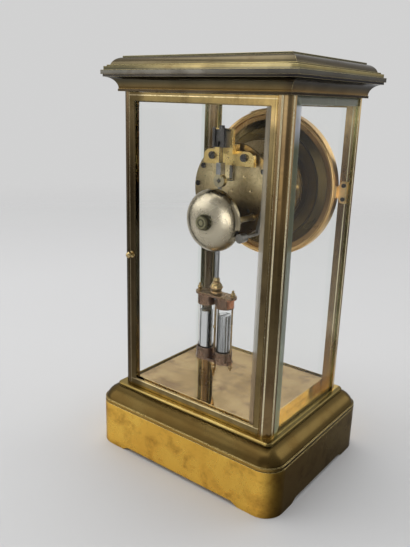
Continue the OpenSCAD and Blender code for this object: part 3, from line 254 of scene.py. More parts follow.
def satin_metal(name, colour, dull, gloss, lines, worn=0.4, other=None, bands=None, blur=16.0):
    """Plain satin metal: clouds between a colour and a dull tone, with fine lines drawn out along one axis. Other
    is a second metal: the ranges that hold it, each an axis with its low and high place, and its colour. Bands tint
    it by height, their edges wavy by a blur in millimetres."""
    f = Finish(name)
    along = f.named_axes()
    soft, edge = f.rounded(0.2 * MM)
    cloud = f.step(f.clouds(120.0, 5.0, 0.62, 0.8), 0.38, 0.66)
    line = f.streaks(lines, 2.0, 0.5)
    spot = f.step(f.clouds(520.0, 3.0, 0.6), 0.6, 0.72)
    body = f.blend(cloud * 0.8, colour, dull)
    body = f.blend(spot * 0.5, body, share_of(dull, 0.55))
    body = f.blend(edge * worn, body, rubbed(colour, 1.2))
    if other:
        ranges, metal = other
        inside = 1.0 - 0.35 * cloud
        for axis, low, high in ranges:
            for limit, soft_limit in ((low, low + 0.1), (high, high - 0.1)):
                inside = f.step(along[axis], limit * MM, soft_limit * MM) * inside
        body = f.blend(inside, body, f.blend(cloud * 0.7, metal, share_of(metal, 0.6)))
    if bands:
        wave = (f.clouds(30.0, 3.0, 0.6) - 0.5) * (blur * MM)
        body = f.tinted(body, f.bands(along["Z"] + wave, bands))
    rough = gloss + 0.14 * cloud + 0.08 * line
    return f.done(f.surface(Base_Color=body, Metallic=1.0, Roughness=rough,
                            Normal=f.bump(line, 0.12, 0.05 * MM, soft)))


def turned_metal(name, colour, dull, gloss, middle, rings=2600.0, bands=None, spots=1.0):
    """Metal turned on a lathe: rings round an axis along Y through the middle, colour clouds and small stains, both
    scaled by spots. Bands tint it by the distance from the axis, the root of x squared plus z squared."""
    f = Finish(name)
    x, _, z = f.axes(f.place())
    radius = ((x - middle[0]) ** 2.0 + (z - middle[2]) ** 2.0) ** 0.5
    wave = f.node("ShaderNodeTexNoise", {"noise_dimensions": "1D"},
                  {"W": radius * rings, "Scale": 1.0, "Detail": 3.0})
    cloud = f.step(f.clouds(70.0, 4.0, 0.55, 0.25), 0.36, 0.68)
    stain = f.step(f.clouds(240.0, 3.0, 0.6, 0.2), 0.6, 0.78)
    soft, edge = f.rounded(0.25 * MM)
    body = f.blend(cloud * (0.75 * spots), colour, dull)
    body = f.blend(stain * (0.5 * spots), body, share_of(dull, 0.5))
    body = f.blend(f.step(wave, 0.4, 0.7) * (0.2 * spots), body, dull)
    if bands:
        body = f.tinted(body, f.bands(radius, bands))
    body = f.blend(edge * 0.5, body, rubbed(colour, 1.3))
    rough = gloss + 0.1 * cloud + 0.08 * stain + 0.06 * wave
    return f.done(f.surface(Base_Color=body, Metallic=1.0, Roughness=rough,
                            Normal=f.bump(wave, 0.12, 0.04 * MM, soft)))


def clear_glass(name, tint, edges, bevel=None, shade_seat=None, painted_slopes=()):
    """Old clear glass: colourless in the sheet, tinted towards its ground edges, faint waves and a few smears. Edges
    are an axis and the two ends of the sheet along it. Bevel gives the width of the ground slope and the tint there.
    Below the seat's height it is painted dark, a painted shade where the sheet stands in its groove. Painted slopes
    are ground slopes that look nearly solid, a haze whose colours are a painted reflection of what the slope shows,
    with
    painted glints: an axis, the places where one starts and is full, its share and its colours by height. Lamps shine
    through it."""
    f = Finish(name)
    place = f.named_axes()
    axis, low, high = edges
    near = (f.step(place[axis], (low + GROUND_EDGE) * MM, low * MM)
            + f.step(place[axis], (high - GROUND_EDGE) * MM, high * MM))
    body = (0.985, 0.99, 0.985)
    if bevel:
        width, slope_tint = bevel
        slope = f.step(abs(place[axis]), (high - width) * MM, (high - width + 0.4) * MM)
        streak = f.step(f.streaks((300.0, 300.0, 6.0)), 0.35, 0.7)
        body = f.blend(slope * (1.0 - 0.5 * streak), body, slope_tint)
    body = f.blend(near, body, tint)
    # Painted shade: the sheet darkened below its seat, where it stands in its groove
    if shade_seat:
        body = f.blend(f.step(place["Z"], shade_seat * MM, (shade_seat - 0.5) * MM), body, (0.05, 0.042, 0.028))
    smear = f.step(f.clouds(26.0, 5.0, 0.7, 1.5), 0.55, 0.8)
    glass = f.surface(Base_Color=body, Roughness=smear * 0.03, IOR=1.05, Transmission_Weight=1.0, Coat_Weight=0.14,
                      Normal=f.bump(f.clouds(9.0, 1.0, 0.4), 0.04, 0.4 * MM))
    # Painted slopes: a ground haze coloured by height as a painted reflection, with painted glints in bright streaks
    for axis, start, full, share, stops in painted_slopes:
        glint = f.step(f.streaks((160.0, 160.0, 26.0)), 0.5, 0.78)
        colour = f.bands(place["Z"], stops)
        colour = f.blend(glint * 0.6, colour, f.tinted(colour, grey(2.2)))
        slope = f.surface(Base_Color=colour, Roughness=0.3 + 0.1 * smear, Specular_IOR_Level=0.15)
        glass = f.mixed(f.step(place[axis], start * MM, full * MM) * share, glass, slope)
    shade = f.node("ShaderNodeLightPath", out="Is Shadow Ray")
    through = f.node("ShaderNodeBsdfTransparent", inputs={"Color": (0.93, 0.96, 0.94)})
    return f.done(f.mixed(shade, glass, through))


def enamel():
    """White fired enamel: warm white, faint grey clouds and hair cracks, with a clear gloss."""
    f = Finish("white_enamel")
    cloud = f.step(f.clouds(45.0, 4.0, 0.6), 0.35, 0.75)
    crack = f.node("ShaderNodeTexVoronoi", {"feature": "DISTANCE_TO_EDGE"}, {"Vector": f.place(), "Scale": 55.0})
    hair = f.step(crack, 0.006, 0.0) * f.step(f.clouds(30.0, 2.0), 0.5, 0.62)
    body = f.blend(cloud * 0.5, (0.86, 0.85, 0.79), (0.8, 0.78, 0.7))
    body = f.blend(hair * 0.35, body, (0.4, 0.36, 0.3))
    return f.done(f.surface(Base_Color=body, Roughness=0.12 + 0.06 * cloud, Coat_Weight=0.6, Coat_Roughness=0.05,
                            Normal=f.bump(cloud, 0.06, 0.1 * MM)))


def painted(name, colour, fade, gloss):
    """Fired paint on the dial: one colour that thins out to a paler one in small patches."""
    f = Finish(name)
    thin = f.step(f.clouds(400.0, 3.0, 0.6), 0.5, 0.75)
    return f.done(f.surface(Base_Color=f.blend(thin * 0.6, colour, fade), Roughness=gloss + 0.1 * thin))


def quicksilver():
    """Mercury behind glass: a mirror with grey upright streaks, a painted reflection of the dark and light things
    round it.
    """
    f = Finish("quicksilver")
    painted_streaks = f.step(f.streaks((220.0, 220.0, 5.0)), 0.4, 0.62)
    body = f.blend(painted_streaks, (0.74, 0.74, 0.75), grey(0.17))
    return f.done(f.surface(Base_Color=body, Metallic=1.0, Roughness=0.06 + 0.14 * painted_streaks))


# Middles of the dial and the bell, and the lumps per metre along X, Y and Z that give each grain its direction
CENTRE = np.array([0.0, 0.0, 195.0]) * MM
BELL = np.array([0.0, 0.0, 177.0]) * MM
UP, ACROSS, LEVEL = (450.0, 450.0, 9.0), (14.0, 900.0, 900.0), (60.0, 60.0, 900.0)
ALONG_X, ALONG_Y, ALONG_Z = (60.0, 700.0, 700.0), (700.0, 60.0, 700.0), (700.0, 700.0, 60.0)
FINE_UP, EVEN = (900.0, 900.0, 30.0), (800.0, 800.0, 800.0)
RUST = (0.5, 0.36, 0.28)

# Base: wall, groove, bead, shoulder and ledge, from the feet up; besides the tone of each moulding the tints are
# painted shade, darker at the feet, in the groove and on the shoulder, and a painted highlight on top of the bead
PLINTH_TONE_AND_PAINTED_LIGHT = [
    (0.0, grey(0.8)), (5.0, PLAIN), (33.0, PLAIN), (33.3, grey(0.3)), (33.7, grey(0.3)),
    (34.0, (0.46, 0.48, 0.7)), (35.4, (0.46, 0.48, 0.7)), (35.7, (0.2, 0.22, 0.3)),
    (36.4, (0.105, 0.112, 0.19)), (43.8, (0.1, 0.108, 0.19)), (44.4, (0.1, 0.105, 0.16)),
    (45.4, (0.5, 0.58, 0.98)), (46.8, (0.44, 0.52, 0.98)), (47.0, (0.64, 0.78, 1.6))]
# Painted shade: the left wall and the left ledge darkened, and the ledge's far end darkened too
PLINTH_PAINTED_SHADE = [
    (-66.0, -77.6, 37.0, 35.8, (0.11, 0.113, 0.13)), (-64.4, -65.2, 44.2, 45.0, grey(0.3)),
    (15.0, 60.0, 44.4, 45.2, (0.42, 0.4, 0.36))]
plinth_finish = toned_brass(
    "plinth_brass", bright=(1.0, 0.63, 0.115), deep=(0.86, 0.49, 0.08), stain=(0.42, 0.2, 0.035),
    rub_and_highlight=(0.86, 0.66, 0.28), grain=LEVEL, gloss=0.24, bands=PLINTH_TONE_AND_PAINTED_LIGHT, mottle=0.75, calm=(31.0, 34.0),
    painted_light_zones=PLINTH_PAINTED_SHADE)

# Posts and doors: painted highlight and painted shade by height, and painted shade on the side of the case that is
# darker
REAR_POST_PAINTED_LIGHT = [
    (47.0, grey(1.2)), (75.0, (0.85, 0.85, 0.95)), (110.0, (0.52, 0.56, 0.6)), (150.0, (0.4, 0.42, 0.4)),
    (172.0, (0.6, 0.62, 0.58)), (192.0, (1.4, 1.35, 1.25)), (212.0, (1.5, 1.45, 1.35)),
    (232.0, (2.3, 2.3, 2.4)), (250.0, (2.5, 2.6, 2.8)), (257.0, (2.2, 2.3, 2.5))]
FRONT_POST_PAINTED_LIGHT = [
    (47.0, (4.0, 4.6, 6.2)), (70.0, (2.8, 3.2, 4.4)), (110.0, (1.2, 1.3, 1.6)), (140.0, (0.75, 0.75, 0.8)),
    (172.0, (0.8, 0.8, 0.9)), (192.0, (1.4, 1.3, 1.3)), (225.0, grey(1.7)), (242.0, (4.0, 4.35, 4.8)),
    (257.0, (4.1, 4.6, 5.2))]
DOOR_PAINTED_LIGHT = [
    (47.0, grey(0.9)), (58.0, (0.75, 0.72, 0.7)), (110.0, (0.5, 0.49, 0.54)), (145.0, (0.33, 0.32, 0.38)),
    (172.0, (0.5, 0.5, 0.55)), (192.0, (0.6, 0.58, 0.6)), (228.0, (1.25, 1.25, 1.3)), (243.0, (1.4, 1.4, 1.5)),
    (251.0, (0.78, 0.77, 0.72)), (257.0, (0.74, 0.71, 0.65))]
# Arrises rubbed bright: partly wear and partly a painted highlight
POST_WORN_AND_HIGHLIT_ARRISES = [("X", 58.9, 0.42), ("Y", 43.9, 0.42), ("X", 63.7, 0.25), ("Y", 48.7, 0.25)]
DOOR_WORN_AND_HIGHLIT_ARRISES = [("X", 56.4, 0.4), ("Z", 254.9, 0.4), ("Z", 52.4, 0.35)]
# Painted highlight on the top of the left stile
DOOR_PAINTED_HIGHLIGHT = [(0.0, -50.0, 236.0, 246.0, (2.4, 2.3, 2.2))]
# Painted shade on the right side of the posts and rear door
FAR_SIDE_PAINTED_SHADE = (40.0, 50.0, (0.36, 0.35, 0.36))


def post_brass(name, bands):
    """The finish of a corner post: dark toned brass in upright streaks with arrises rubbed bright, partly wear and
    partly a painted highlight, with painted highlight and shade by height and painted shade on the far side.
    """
    return toned_brass(
        name, bright=(0.23, 0.155, 0.068), deep=(0.1, 0.064, 0.03), stain=(0.05, 0.024, 0.014),
        rub_and_highlight=(0.95, 0.86, 0.62), grain=UP, gloss=0.18, bands=bands, lines=POST_WORN_AND_HIGHLIT_ARRISES, drawn=0.55, far=FAR_SIDE_PAINTED_SHADE)


def door_brass(name, far=None):
    """The finish of a door frame: toned brass in upright streaks with arrises rubbed bright, partly wear and partly a
    painted highlight, with painted highlight and shade by height, a painted highlight at the top of the left stile,
    and painted shade on the far side if far is given.
    """
    return toned_brass(
        name, bright=(0.36, 0.27, 0.115), deep=(0.18, 0.13, 0.055), stain=(0.1, 0.062, 0.03),
        rub_and_highlight=(0.85, 0.7, 0.4), grain=UP, gloss=0.18, bands=DOOR_PAINTED_LIGHT, mottle=0.5, painted_light_zones=DOOR_PAINTED_HIGHLIGHT,
        lines=DOOR_WORN_AND_HIGHLIT_ARRISES, drawn=0.4, far=far)


rear_post_finish = post_brass("rear_post_brass", REAR_POST_PAINTED_LIGHT)
front_post_finish = post_brass("front_post_brass", FRONT_POST_PAINTED_LIGHT)
rear_door_finish = door_brass("rear_door_brass", FAR_SIDE_PAINTED_SHADE)
front_door_finish = door_brass("front_door_brass")
knob_finish = satin_metal("knob_brass", (0.5, 0.385, 0.19), (0.3, 0.215, 0.095), 0.1, ALONG_Y)

# Top: foot, cove, rim and fillets of the cornice, then the slope and edge of the cap; the colours by height are the
# brass's tone with painted reflections, dark and bright bands
CORNICE_TONE_AND_PAINTED_LIGHT = [
    (257.0, (0.05, 0.036, 0.022)), (258.4, (0.07, 0.05, 0.028)), (258.8, (0.36, 0.22, 0.07)),
    (260.2, (0.2, 0.14, 0.06)), (263.0, (0.1, 0.085, 0.05)), (265.7, (0.07, 0.062, 0.045)),
    (266.0, (0.045, 0.04, 0.036)), (267.2, (0.05, 0.045, 0.04)), (267.6, (0.1, 0.09, 0.075)),
    (269.4, (0.13, 0.125, 0.105)), (269.8, (0.05, 0.045, 0.035)), (270.2, (0.2, 0.175, 0.11)),
    (271.4, (0.36, 0.28, 0.12)), (272.3, (0.3, 0.24, 0.12))]
# Painted shade on the left side below the rim, on the rim towards the right and on its left face; painted highlight
# on the rim near the left corners
CORNICE_PAINTED_LIGHT = [
    (-58.0, -70.0, 268.0, 266.0, (0.5, 0.52, 0.74)), (-10.0, 55.0, 269.6, 270.4, (0.26, 0.29, 0.34)),
    (-15.0, -60.0, 269.6, 270.4, (2.2, 2.3, 2.5)), (-66.0, -69.0, 269.6, 270.4, (0.45, 0.45, 0.4))]
CAP_TONE_AND_PAINTED_LIGHT = [
    (272.3, (0.3, 0.235, 0.1)), (273.2, (0.28, 0.225, 0.1)), (273.5, (0.12, 0.1, 0.054)),
    (275.5, (0.138, 0.115, 0.068)), (277.8, (0.155, 0.132, 0.084)), (278.1, (0.08, 0.077, 0.046)),
    (278.8, (0.1, 0.095, 0.057)), (279.0, (0.24, 0.21, 0.145))]
# Painted shade on the left side, towards the right and on the left face; painted highlight near the left corners
CAP_PAINTED_LIGHT = [
    (-58.0, -70.0, 270.0, 271.0, (0.6, 0.61, 0.64)), (-10.0, 55.0, 273.6, 273.0, (0.3, 0.33, 0.38)),
    (-15.0, -55.0, 273.6, 273.0, (2.0, 2.1, 2.2)), (-64.0, -67.0, 273.6, 273.0, (0.4, 0.4, 0.36))]
cornice_finish = toned_brass(
    "cornice_brass", bright=PLAIN, deep=grey(0.62), stain=RUST, rub_and_highlight=(0.62, 0.52, 0.28), grain=LEVEL, gloss=0.12,
    bands=CORNICE_TONE_AND_PAINTED_LIGHT, mottle=0.4, painted_light_zones=CORNICE_PAINTED_LIGHT)
cap_finish = toned_brass(
    "cap_brass", bright=(0.94, 0.91, 0.88), deep=(0.72, 0.7, 0.68), stain=RUST, rub_and_highlight=(0.6, 0.5, 0.26), grain=LEVEL,
    gloss=0.12, bands=CAP_TONE_AND_PAINTED_LIGHT, mottle=0.25, painted_light_zones=CAP_PAINTED_LIGHT)
floor_finish = toned_brass(
    "floor_brass", bright=(0.74, 0.545, 0.29), deep=(0.5, 0.345, 0.17), stain=(0.34, 0.22, 0.14),
    rub_and_highlight=(0.8, 0.66, 0.36), grain=ACROSS, gloss=0.01, mottle=0.75, relief=0.012)

# Movement and dial: the plate by height, with painted shade low down and at the top and a painted sheen round its
# middle; turned pieces by the distance from their axis, the bell with painted shade at its middle and rim
PLATE_PAINTED_SHADE_AND_SHEEN = [
    (163.0, (0.2, 0.165, 0.13)), (184.0, (0.28, 0.235, 0.185)), (192.0, (0.9, 0.87, 0.82)),
    (203.0, (1.45, 1.47, 1.4)), (214.0, (1.0, 0.98, 0.94)), (226.0, (0.6, 0.56, 0.5))]
PAN_BANDS = [
    (31.0, (0.45, 0.42, 0.4)), (33.4, (0.5, 0.48, 0.45)), (39.4, (0.8, 0.76, 0.66)), (40.2, (0.35, 0.33, 0.3)),
    (41.2, (0.5, 0.5, 0.46)), (45.2, (0.42, 0.4, 0.36)), (46.0, (0.36, 0.33, 0.3)), (46.6, (1.7, 1.4, 1.3)),
    (50.0, (1.9, 1.55, 1.4))]
# Painted shade: the bell darker at its middle and towards its rim
BELL_PAINTED_SHADE = [
    (0.0, grey(0.7)), (6.0, (0.78, 0.78, 0.77)), (9.0, PLAIN), (14.0, grey(0.9)), (18.0, (0.7, 0.68, 0.64)),
    (21.0, (0.6, 0.57, 0.5))]
NUT_BANDS = [
    (0.0, PLAIN), (1.5, PLAIN), (1.8, grey(0.3)), (2.6, grey(0.3)), (2.8, PLAIN), (3.7, PLAIN), (3.9, grey(0.4)),
    (5.6, grey(0.6))]
STEEL_ARBORS = ([("Y", 6.3, 9.0)], (0.1, 0.095, 0.085))
CRUTCH_DISC = ([("Z", 198.3, 206.8)], (0.42, 0.36, 0.22))
plate_finish = satin_metal("plate_brass", (0.58, 0.47, 0.28), (0.36, 0.28, 0.155), 0.24, FINE_UP, bands=PLATE_PAINTED_SHADE_AND_SHEEN)
wheel_finish = satin_metal("wheel_brass", (0.7, 0.53, 0.22), (0.5, 0.37, 0.15), 0.25, ALONG_Y, other=STEEL_ARBORS)
bell_stand_finish = satin_metal("bell_stand_brass", (0.3, 0.23, 0.115), (0.19, 0.145, 0.07), 0.25, ALONG_Y)
lug_finish = satin_metal("lug_brass", (0.86, 0.6, 0.28), (0.66, 0.45, 0.2), 0.34, ALONG_X)
cock_finish = satin_metal("cock_brass", (0.74, 0.55, 0.22), (0.53, 0.38, 0.145), 0.22, ALONG_X)
steel_finish = satin_metal("grey_steel", (0.19, 0.18, 0.16), (0.095, 0.09, 0.08), 0.26, ALONG_Z)
screw_finish = satin_metal("dark_screw_steel", (0.1, 0.095, 0.09), (0.055, 0.05, 0.045), 0.3, EVEN)
rod_finish = satin_metal("rod_steel", grey(0.27), (0.17, 0.17, 0.165), 0.28, FINE_UP, other=CRUTCH_DISC)
blue_finish = satin_metal("blued_steel", (0.035, 0.05, 0.16), (0.02, 0.025, 0.07), 0.18, ALONG_Y, worn=0.2)
ring_finish = turned_metal("ring_brass", (0.78, 0.52, 0.22), (0.55, 0.355, 0.14), 0.3, CENTRE)
pan_finish = turned_metal("pan_brass", (0.165, 0.12, 0.05), (0.12, 0.086, 0.035), 0.24, CENTRE, bands=PAN_BANDS,
                          spots=0.6)
bell_finish = turned_metal("bell_metal", (0.54, 0.475, 0.355), (0.41, 0.36, 0.265), 0.17, BELL, 1900.0, BELL_PAINTED_SHADE,
                           spots=0.45)
nut_finish = turned_metal("nut_brass", (0.3, 0.275, 0.16), (0.16, 0.145, 0.085), 0.25, BELL, bands=NUT_BANDS)
dial_finish = enamel()
ink_finish = painted("black_numerals", (0.015, 0.015, 0.018), grey(0.06), 0.3)

# Pendulum: brown bronze caps between brassier rods, with one cap rubbed to copper
FRAME_BANDS = [
    (58.0, (2.0, 2.3, 1.7)), (74.6, (1.8, 2.0, 1.5)), (75.4, PLAIN), (83.6, PLAIN), (84.4, (1.6, 1.8, 1.4)),
    (115.8, (1.6, 1.8, 1.4)), (116.6, PLAIN), (124.4, PLAIN), (125.2, (1.9, 2.2, 1.6)), (140.0, (2.2, 2.6, 1.8))]
COPPER_CAP = ([("X", -17.0, -12.6), ("Z", 116.9, 123.6)], (0.52, 0.23, 0.125))
copper_finish = satin_metal("copper_bronze", (0.25, 0.155, 0.1), (0.11, 0.074, 0.052), 0.2, ALONG_Z,
                            other=COPPER_CAP, bands=FRAME_BANDS, blur=1.0)
finial_finish = satin_metal("finial_bronze", (0.6, 0.42, 0.22), (0.4, 0.26, 0.13), 0.2, ALONG_Z)
mercury_finish = quicksilver()

# Glasses: the ends of each sheet, its ground slopes and the colours of the slopes that look nearly solid, which are a
# painted reflection of what each slope shows, dark where the dial pan is behind and pale near the top
GREEN, GROUND_EDGE, SLOPE_WIDTH = (0.62, 0.8, 0.7), 0.9, 5.0
SLOPE_DARK, SLOPE_SKY, SLOPE_TOP = (0.14, 0.155, 0.1), (0.5, 0.52, 0.56), (0.125, 0.135, 0.09)
SLOPE_PAINTED_REFLECTION = [
    (47.0, (0.3, 0.34, 0.24)), (75.0, (0.22, 0.245, 0.16)), (110.0, SLOPE_DARK), (228.0, SLOPE_DARK),
    (238.0, SLOPE_SKY), (251.0, SLOPE_SKY), (252.0, SLOPE_TOP), (257.0, SLOPE_TOP)]
WARM_SLOPE_PAINTED_REFLECTION = [
    (52.0, (0.24, 0.17, 0.1)), (98.0, (0.27, 0.2, 0.125)), (106.0, (0.36, 0.34, 0.28)), (165.0, (0.4, 0.36, 0.29)),
    (180.0, (0.3, 0.26, 0.19)), (252.0, (0.25, 0.22, 0.17))]
PANE_EDGES, PANE_SHADE_SEAT, PANE_SLOPE = ("Y", -41.7, 41.7), 49.0, (SLOPE_WIDTH, (0.8, 0.87, 0.82))
PANE_PAINTED_SLOPES = [("Y", 35.2, 35.8, 0.85, SLOPE_PAINTED_REFLECTION), ("Z", 251.6, 252.2, 0.75, SLOPE_PAINTED_REFLECTION)]
DOOR_EDGES, DOOR_SLOPE = ("X", -53.05, 53.05), (SLOPE_WIDTH, (0.93, 0.95, 0.94))
DOOR_PAINTED_SLOPES = [("X", -48.0, -48.6, 0.7, WARM_SLOPE_PAINTED_REFLECTION)]
side_glass = clear_glass("side_glass", GREEN, PANE_EDGES, PANE_SLOPE, PANE_SHADE_SEAT, PANE_PAINTED_SLOPES)
front_glass = clear_glass("front_door_glass", GREEN, DOOR_EDGES, DOOR_SLOPE)
rear_glass = clear_glass("rear_door_glass", GREEN, DOOR_EDGES, DOOR_SLOPE, painted_slopes=DOOR_PAINTED_SLOPES)
jar_glass = clear_glass("jar_glass", (0.9, 0.94, 0.92), ("Z", 77.2, 121.2))

WEAR = {
    plinth_finish: ["base_plinth"],
    front_post_finish: ["front_left_post", "front_right_post"],
    rear_post_finish: ["rear_left_post", "rear_right_post"],
    cornice_finish: ["cornice_moulding"],
    cap_finish: ["top_cap"],
    rear_door_finish: ["rear_door_frame"],
    front_door_finish: ["front_door_frame"],
    knob_finish: ["rear_door_knob", "front_door_knob"],
    floor_finish: ["floor_plate"],
    side_glass: ["left_pane", "right_pane"],
    rear_glass: ["rear_door_glass"],
    front_glass: ["front_door_glass"],
    jar_glass: ["mercury_jars"],
    mercury_finish: ["mercury"],
    screw_finish: ["case_screws", "movement_screws", "rear_door_pins", "front_door_pins", "suspension_block"],
    steel_finish: ["clicks", "going_winding_arbor", "strike_winding_arbor", "going_mainspring", "strike_mainspring",
                   "anchor", "crutch", "hammer", "suspension_spring"],
    rod_finish: ["pendulum_rod"],
    blue_finish: ["hour_hand", "minute_hand"],
    ring_finish: ["dial_ring"],
    pan_finish: ["dial_pan"],
    plate_finish: ["front_plate", "back_plate", "pillars"],
    cock_finish: ["back_cock"],
    lug_finish: ["dial_lugs"],
    wheel_finish: ["going_barrel", "strike_barrel", "intermediate_wheel", "centre_wheel", "third_wheel",
                   "escape_wheel", "minute_wheel", "hour_wheel", "hand_nut", "strike_second_wheel", "pin_wheel",
                   "locking_wheel", "fly"],
    bell_stand_finish: ["bell_stand"],
    nut_finish: ["bell_nut"],
    bell_finish: ["bell"],
    dial_finish: ["dial"],
    copper_finish: ["jar_frame"],
}
for finish, names in WEAR.items():
    for name in names:
        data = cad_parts[name].data
        data.materials.clear()
        data.materials.append(finish)


# Pieces


def joined(name, points, faces, finish, body):
    """One object from points and faces that already sit in place; it rides on a body, if one is given."""
    mesh = bpy.data.meshes.new(name)
    mesh.from_pydata(np.asarray(points).tolist(), [], np.asarray(faces).tolist())
    mesh.materials.append(finish)
    mesh.update()
    made = bpy.data.objects.new(name, mesh)
    bpy.context.collection.objects.link(made)
    if body:
        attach(made, body)
    return made


def grid_faces(rows, columns, wrap_rows=True):
    """Four-sided faces over a grid of points; the columns close on themselves, and the rows if they wrap."""
    index = np.arange(rows * columns).reshape(rows, columns)
    index = np.concatenate([index, index[:1]], 0) if wrap_rows else index
    index = np.concatenate([index, index[:, :1]], 1)
    return np.stack([index[:-1, :-1], index[:-1, 1:], index[1:, 1:], index[1:, :-1]], -1).reshape(-1, 4)


def ring_about_y(middle, profile, turns):
    """A closed profile of (radius, depth) carried round an axis along Y: x = r cos t, z = r sin t."""
    t = np.linspace(0.0, math.tau, turns, endpoint=False)
    radius, depth = profile[:, :1], profile[:, 1:]
    points = np.stack([middle[0] + radius * np.cos(t), depth + 0.0 * t, middle[2] + radius * np.sin(t)], -1)
    return points.reshape(-1, 3), grid_faces(len(profile), turns)


def prisms(outlines, front, back):
    """Flat four-cornered strokes given in (x, z), each made a thin block between two depths."""
    count = len(outlines)
    ends = [np.stack([outlines[..., 0], np.full((count, 4), y), outlines[..., 1]], -1) for y in (front, back)]
    points = np.concatenate(ends, 1).reshape(-1, 3)
    block = np.array([[0, 1, 2, 3], [7, 6, 5, 4], [0, 4, 5, 1], [1, 5, 6, 2], [2, 6, 7, 3], [3, 7, 4, 0]])
    return points, (block[None] + 8 * np.arange(count)[:, None, None]).reshape(-1, 4)


DIAL_FACE = -41.6 * MM
INK = 0.05 * MM
NUMERAL_FOOT, NUMERAL_HEAD, TRACK_INNER, TRACK_OUTER, CIRCLE_LINE = 33.0, 42.6, 44.6, 46.8, 0.3


def on_dial(outlines, angles):
    """Strokes in (across, out) millimetres turned to their clock angle: out runs from the middle, across is
    clockwise."""
    out = np.stack([np.sin(angles), np.cos(angles)], -1)[:, None, :]
    across = np.stack([np.cos(angles), -np.sin(angles)], -1)[:, None, :]
    flat = (outlines[..., :1] * across + outlines[..., 1:] * out) * MM
    return flat + np.array([CENTRE[0], CENTRE[2]])


def bars(left, right, low, high, lean):
    """Upright strokes between two heights; lean moves the top sideways."""
    limits = [np.asarray(v, float) for v in (left, right, low, high, lean)]
    left, right, low, high, lean = np.broadcast_arrays(*limits)
    return np.stack([np.stack([left, low], -1), np.stack([right, low], -1),
                     np.stack([right + lean, high], -1), np.stack([left + lean, high], -1)], -2)


def roman_strokes():
    """Twelve Roman numerals: I is a thick bar, V a thick and a thin slope, X two crossed slopes, each with serifs."""
    low, high, thick, thin, serif, inset = NUMERAL_FOOT, NUMERAL_HEAD, 1.35, 0.4, 0.3, 0.15
    wide = {"I": 2.5, "V": 5.6, "X": 5.8}
    words = "I II III IIII V VI VII VIII IX X XI XII".split()
    outlines, angles = [], []

    def slope(middle, width, lean):
        return bars(middle - width / 2, middle + width / 2, low, high, lean)

    for hour, word in enumerate(words, 1):
        at = -0.5 * sum(wide[letter] for letter in word)
        for letter in word:
            w = wide[letter]
            mid = at + 0.5 * w
            if letter == "I":
                made = [slope(mid, thick, 0.0)]
            elif letter == "V":
                made = [slope(mid, thick, -w * 0.3), slope(mid + 0.3, thin, w * 0.3)]
            else:
                made = [slope(mid + w * 0.3, thick, -w * 0.6), slope(mid - w * 0.3, thin, w * 0.6)]
            made += [bars(at + inset, at + w - inset, high - serif, high, 0.0)]
            if letter != "V":
                made += [bars(at + inset, at + w - inset, low, low + serif, 0.0)]
            outlines += made
            angles += [hour * math.tau / 12] * len(made)
            at += w
    return np.array(outlines), np.array(angles)


def minute_strokes():
    """Sixty marks between the two circles of the minute track; each fifth one is thick."""
    minute = np.arange(60)
    half = np.where(minute % 5 == 0, 0.45, 0.13)
    return bars(-half, half, TRACK_INNER, TRACK_OUTER, 0.0), minute * math.tau / 60


def ring_strip(inner, outer):
    """A flat ring of ink on the dial, between two radii in millimetres."""
    profile = np.array([[inner, 0.0], [outer, 0.0], [outer, 1.0], [inner, 1.0]])
    profile = profile * [MM, -INK] + [0.0, DIAL_FACE]
    return ring_about_y(CENTRE, profile, 180)


for name, drawn in (("dial_numerals", roman_strokes()), ("minute_marks", minute_strokes())):
    joined(name, *prisms(on_dial(*drawn), DIAL_FACE - INK, DIAL_FACE), ink_finish, "case")
joined("minute_circle_outer", *ring_strip(TRACK_OUTER, TRACK_OUTER + CIRCLE_LINE), ink_finish, "case")
joined("minute_circle_inner", *ring_strip(TRACK_INNER - CIRCLE_LINE, TRACK_INNER), ink_finish, "case")


def collet(inner, outer, rise):
    """Half-round brass collar at a hole: an arch over the ring's width, closed underneath."""
    t = np.linspace(math.pi, 0.0, 14)
    arch = np.stack([(inner + outer) / 2 - (outer - inner) / 2 * np.cos(t), -rise * np.sin(t)], -1)
    return arch * MM + [0.0, DIAL_FACE]


COLLET_WIDTH, COLLET_RISE = 0.9, 0.35
for name, x, z, inner in (("collet_middle", 0.0, 0.0, 3.3), ("collet_going", 13.8, -12.5, 3.4),
                          ("collet_strike", -13.8, -12.5, 3.4)):
    hole = CENTRE + np.array([x, 0.0, z]) * MM
    joined(name, *ring_about_y(hole, collet(inner, inner + COLLET_WIDTH, COLLET_RISE), 48), wheel_finish, "case")

FINIAL = np.array([0.0, 22.2, 129.36]) * MM


def bead_about_z(middle, radius, height, half):
    """A turned bead round an upright axis: a circle of the given half thickness carried round at a radius and
    height, in millimetres from the middle: x = (R + h cos s) cos t, y = (R + h cos s) sin t, z = h sin s."""
    s, t = np.meshgrid(np.linspace(0.0, math.tau, 16, endpoint=False),
                       np.linspace(0.0, math.tau, 48, endpoint=False), indexing="ij")
    out = (radius + half * np.cos(s)) * MM
    points = np.stack([out * np.cos(t), out * np.sin(t), (height + half * np.sin(s)) * MM], -1) + middle
    return points.reshape(-1, 3), grid_faces(*s.shape)


for name, radius, height, half in (("finial_foot_bead", 3.4, -3.4, 0.7), ("finial_waist_bead", 4.1, 0.0, 0.55),
                                   ("finial_neck_bead", 2.2, 3.4, 0.5)):
    joined(name, *bead_about_z(FINIAL, radius, height, half), finial_finish, "pendulum")


# Stage, light and camera, in metres
BACKDROP = grey(0.64)
FLOOR_RADIUS, FLOOR_DROP, FADE_START, FADE_END = 3.0, 0.02 * MM, 0.45, 1.5


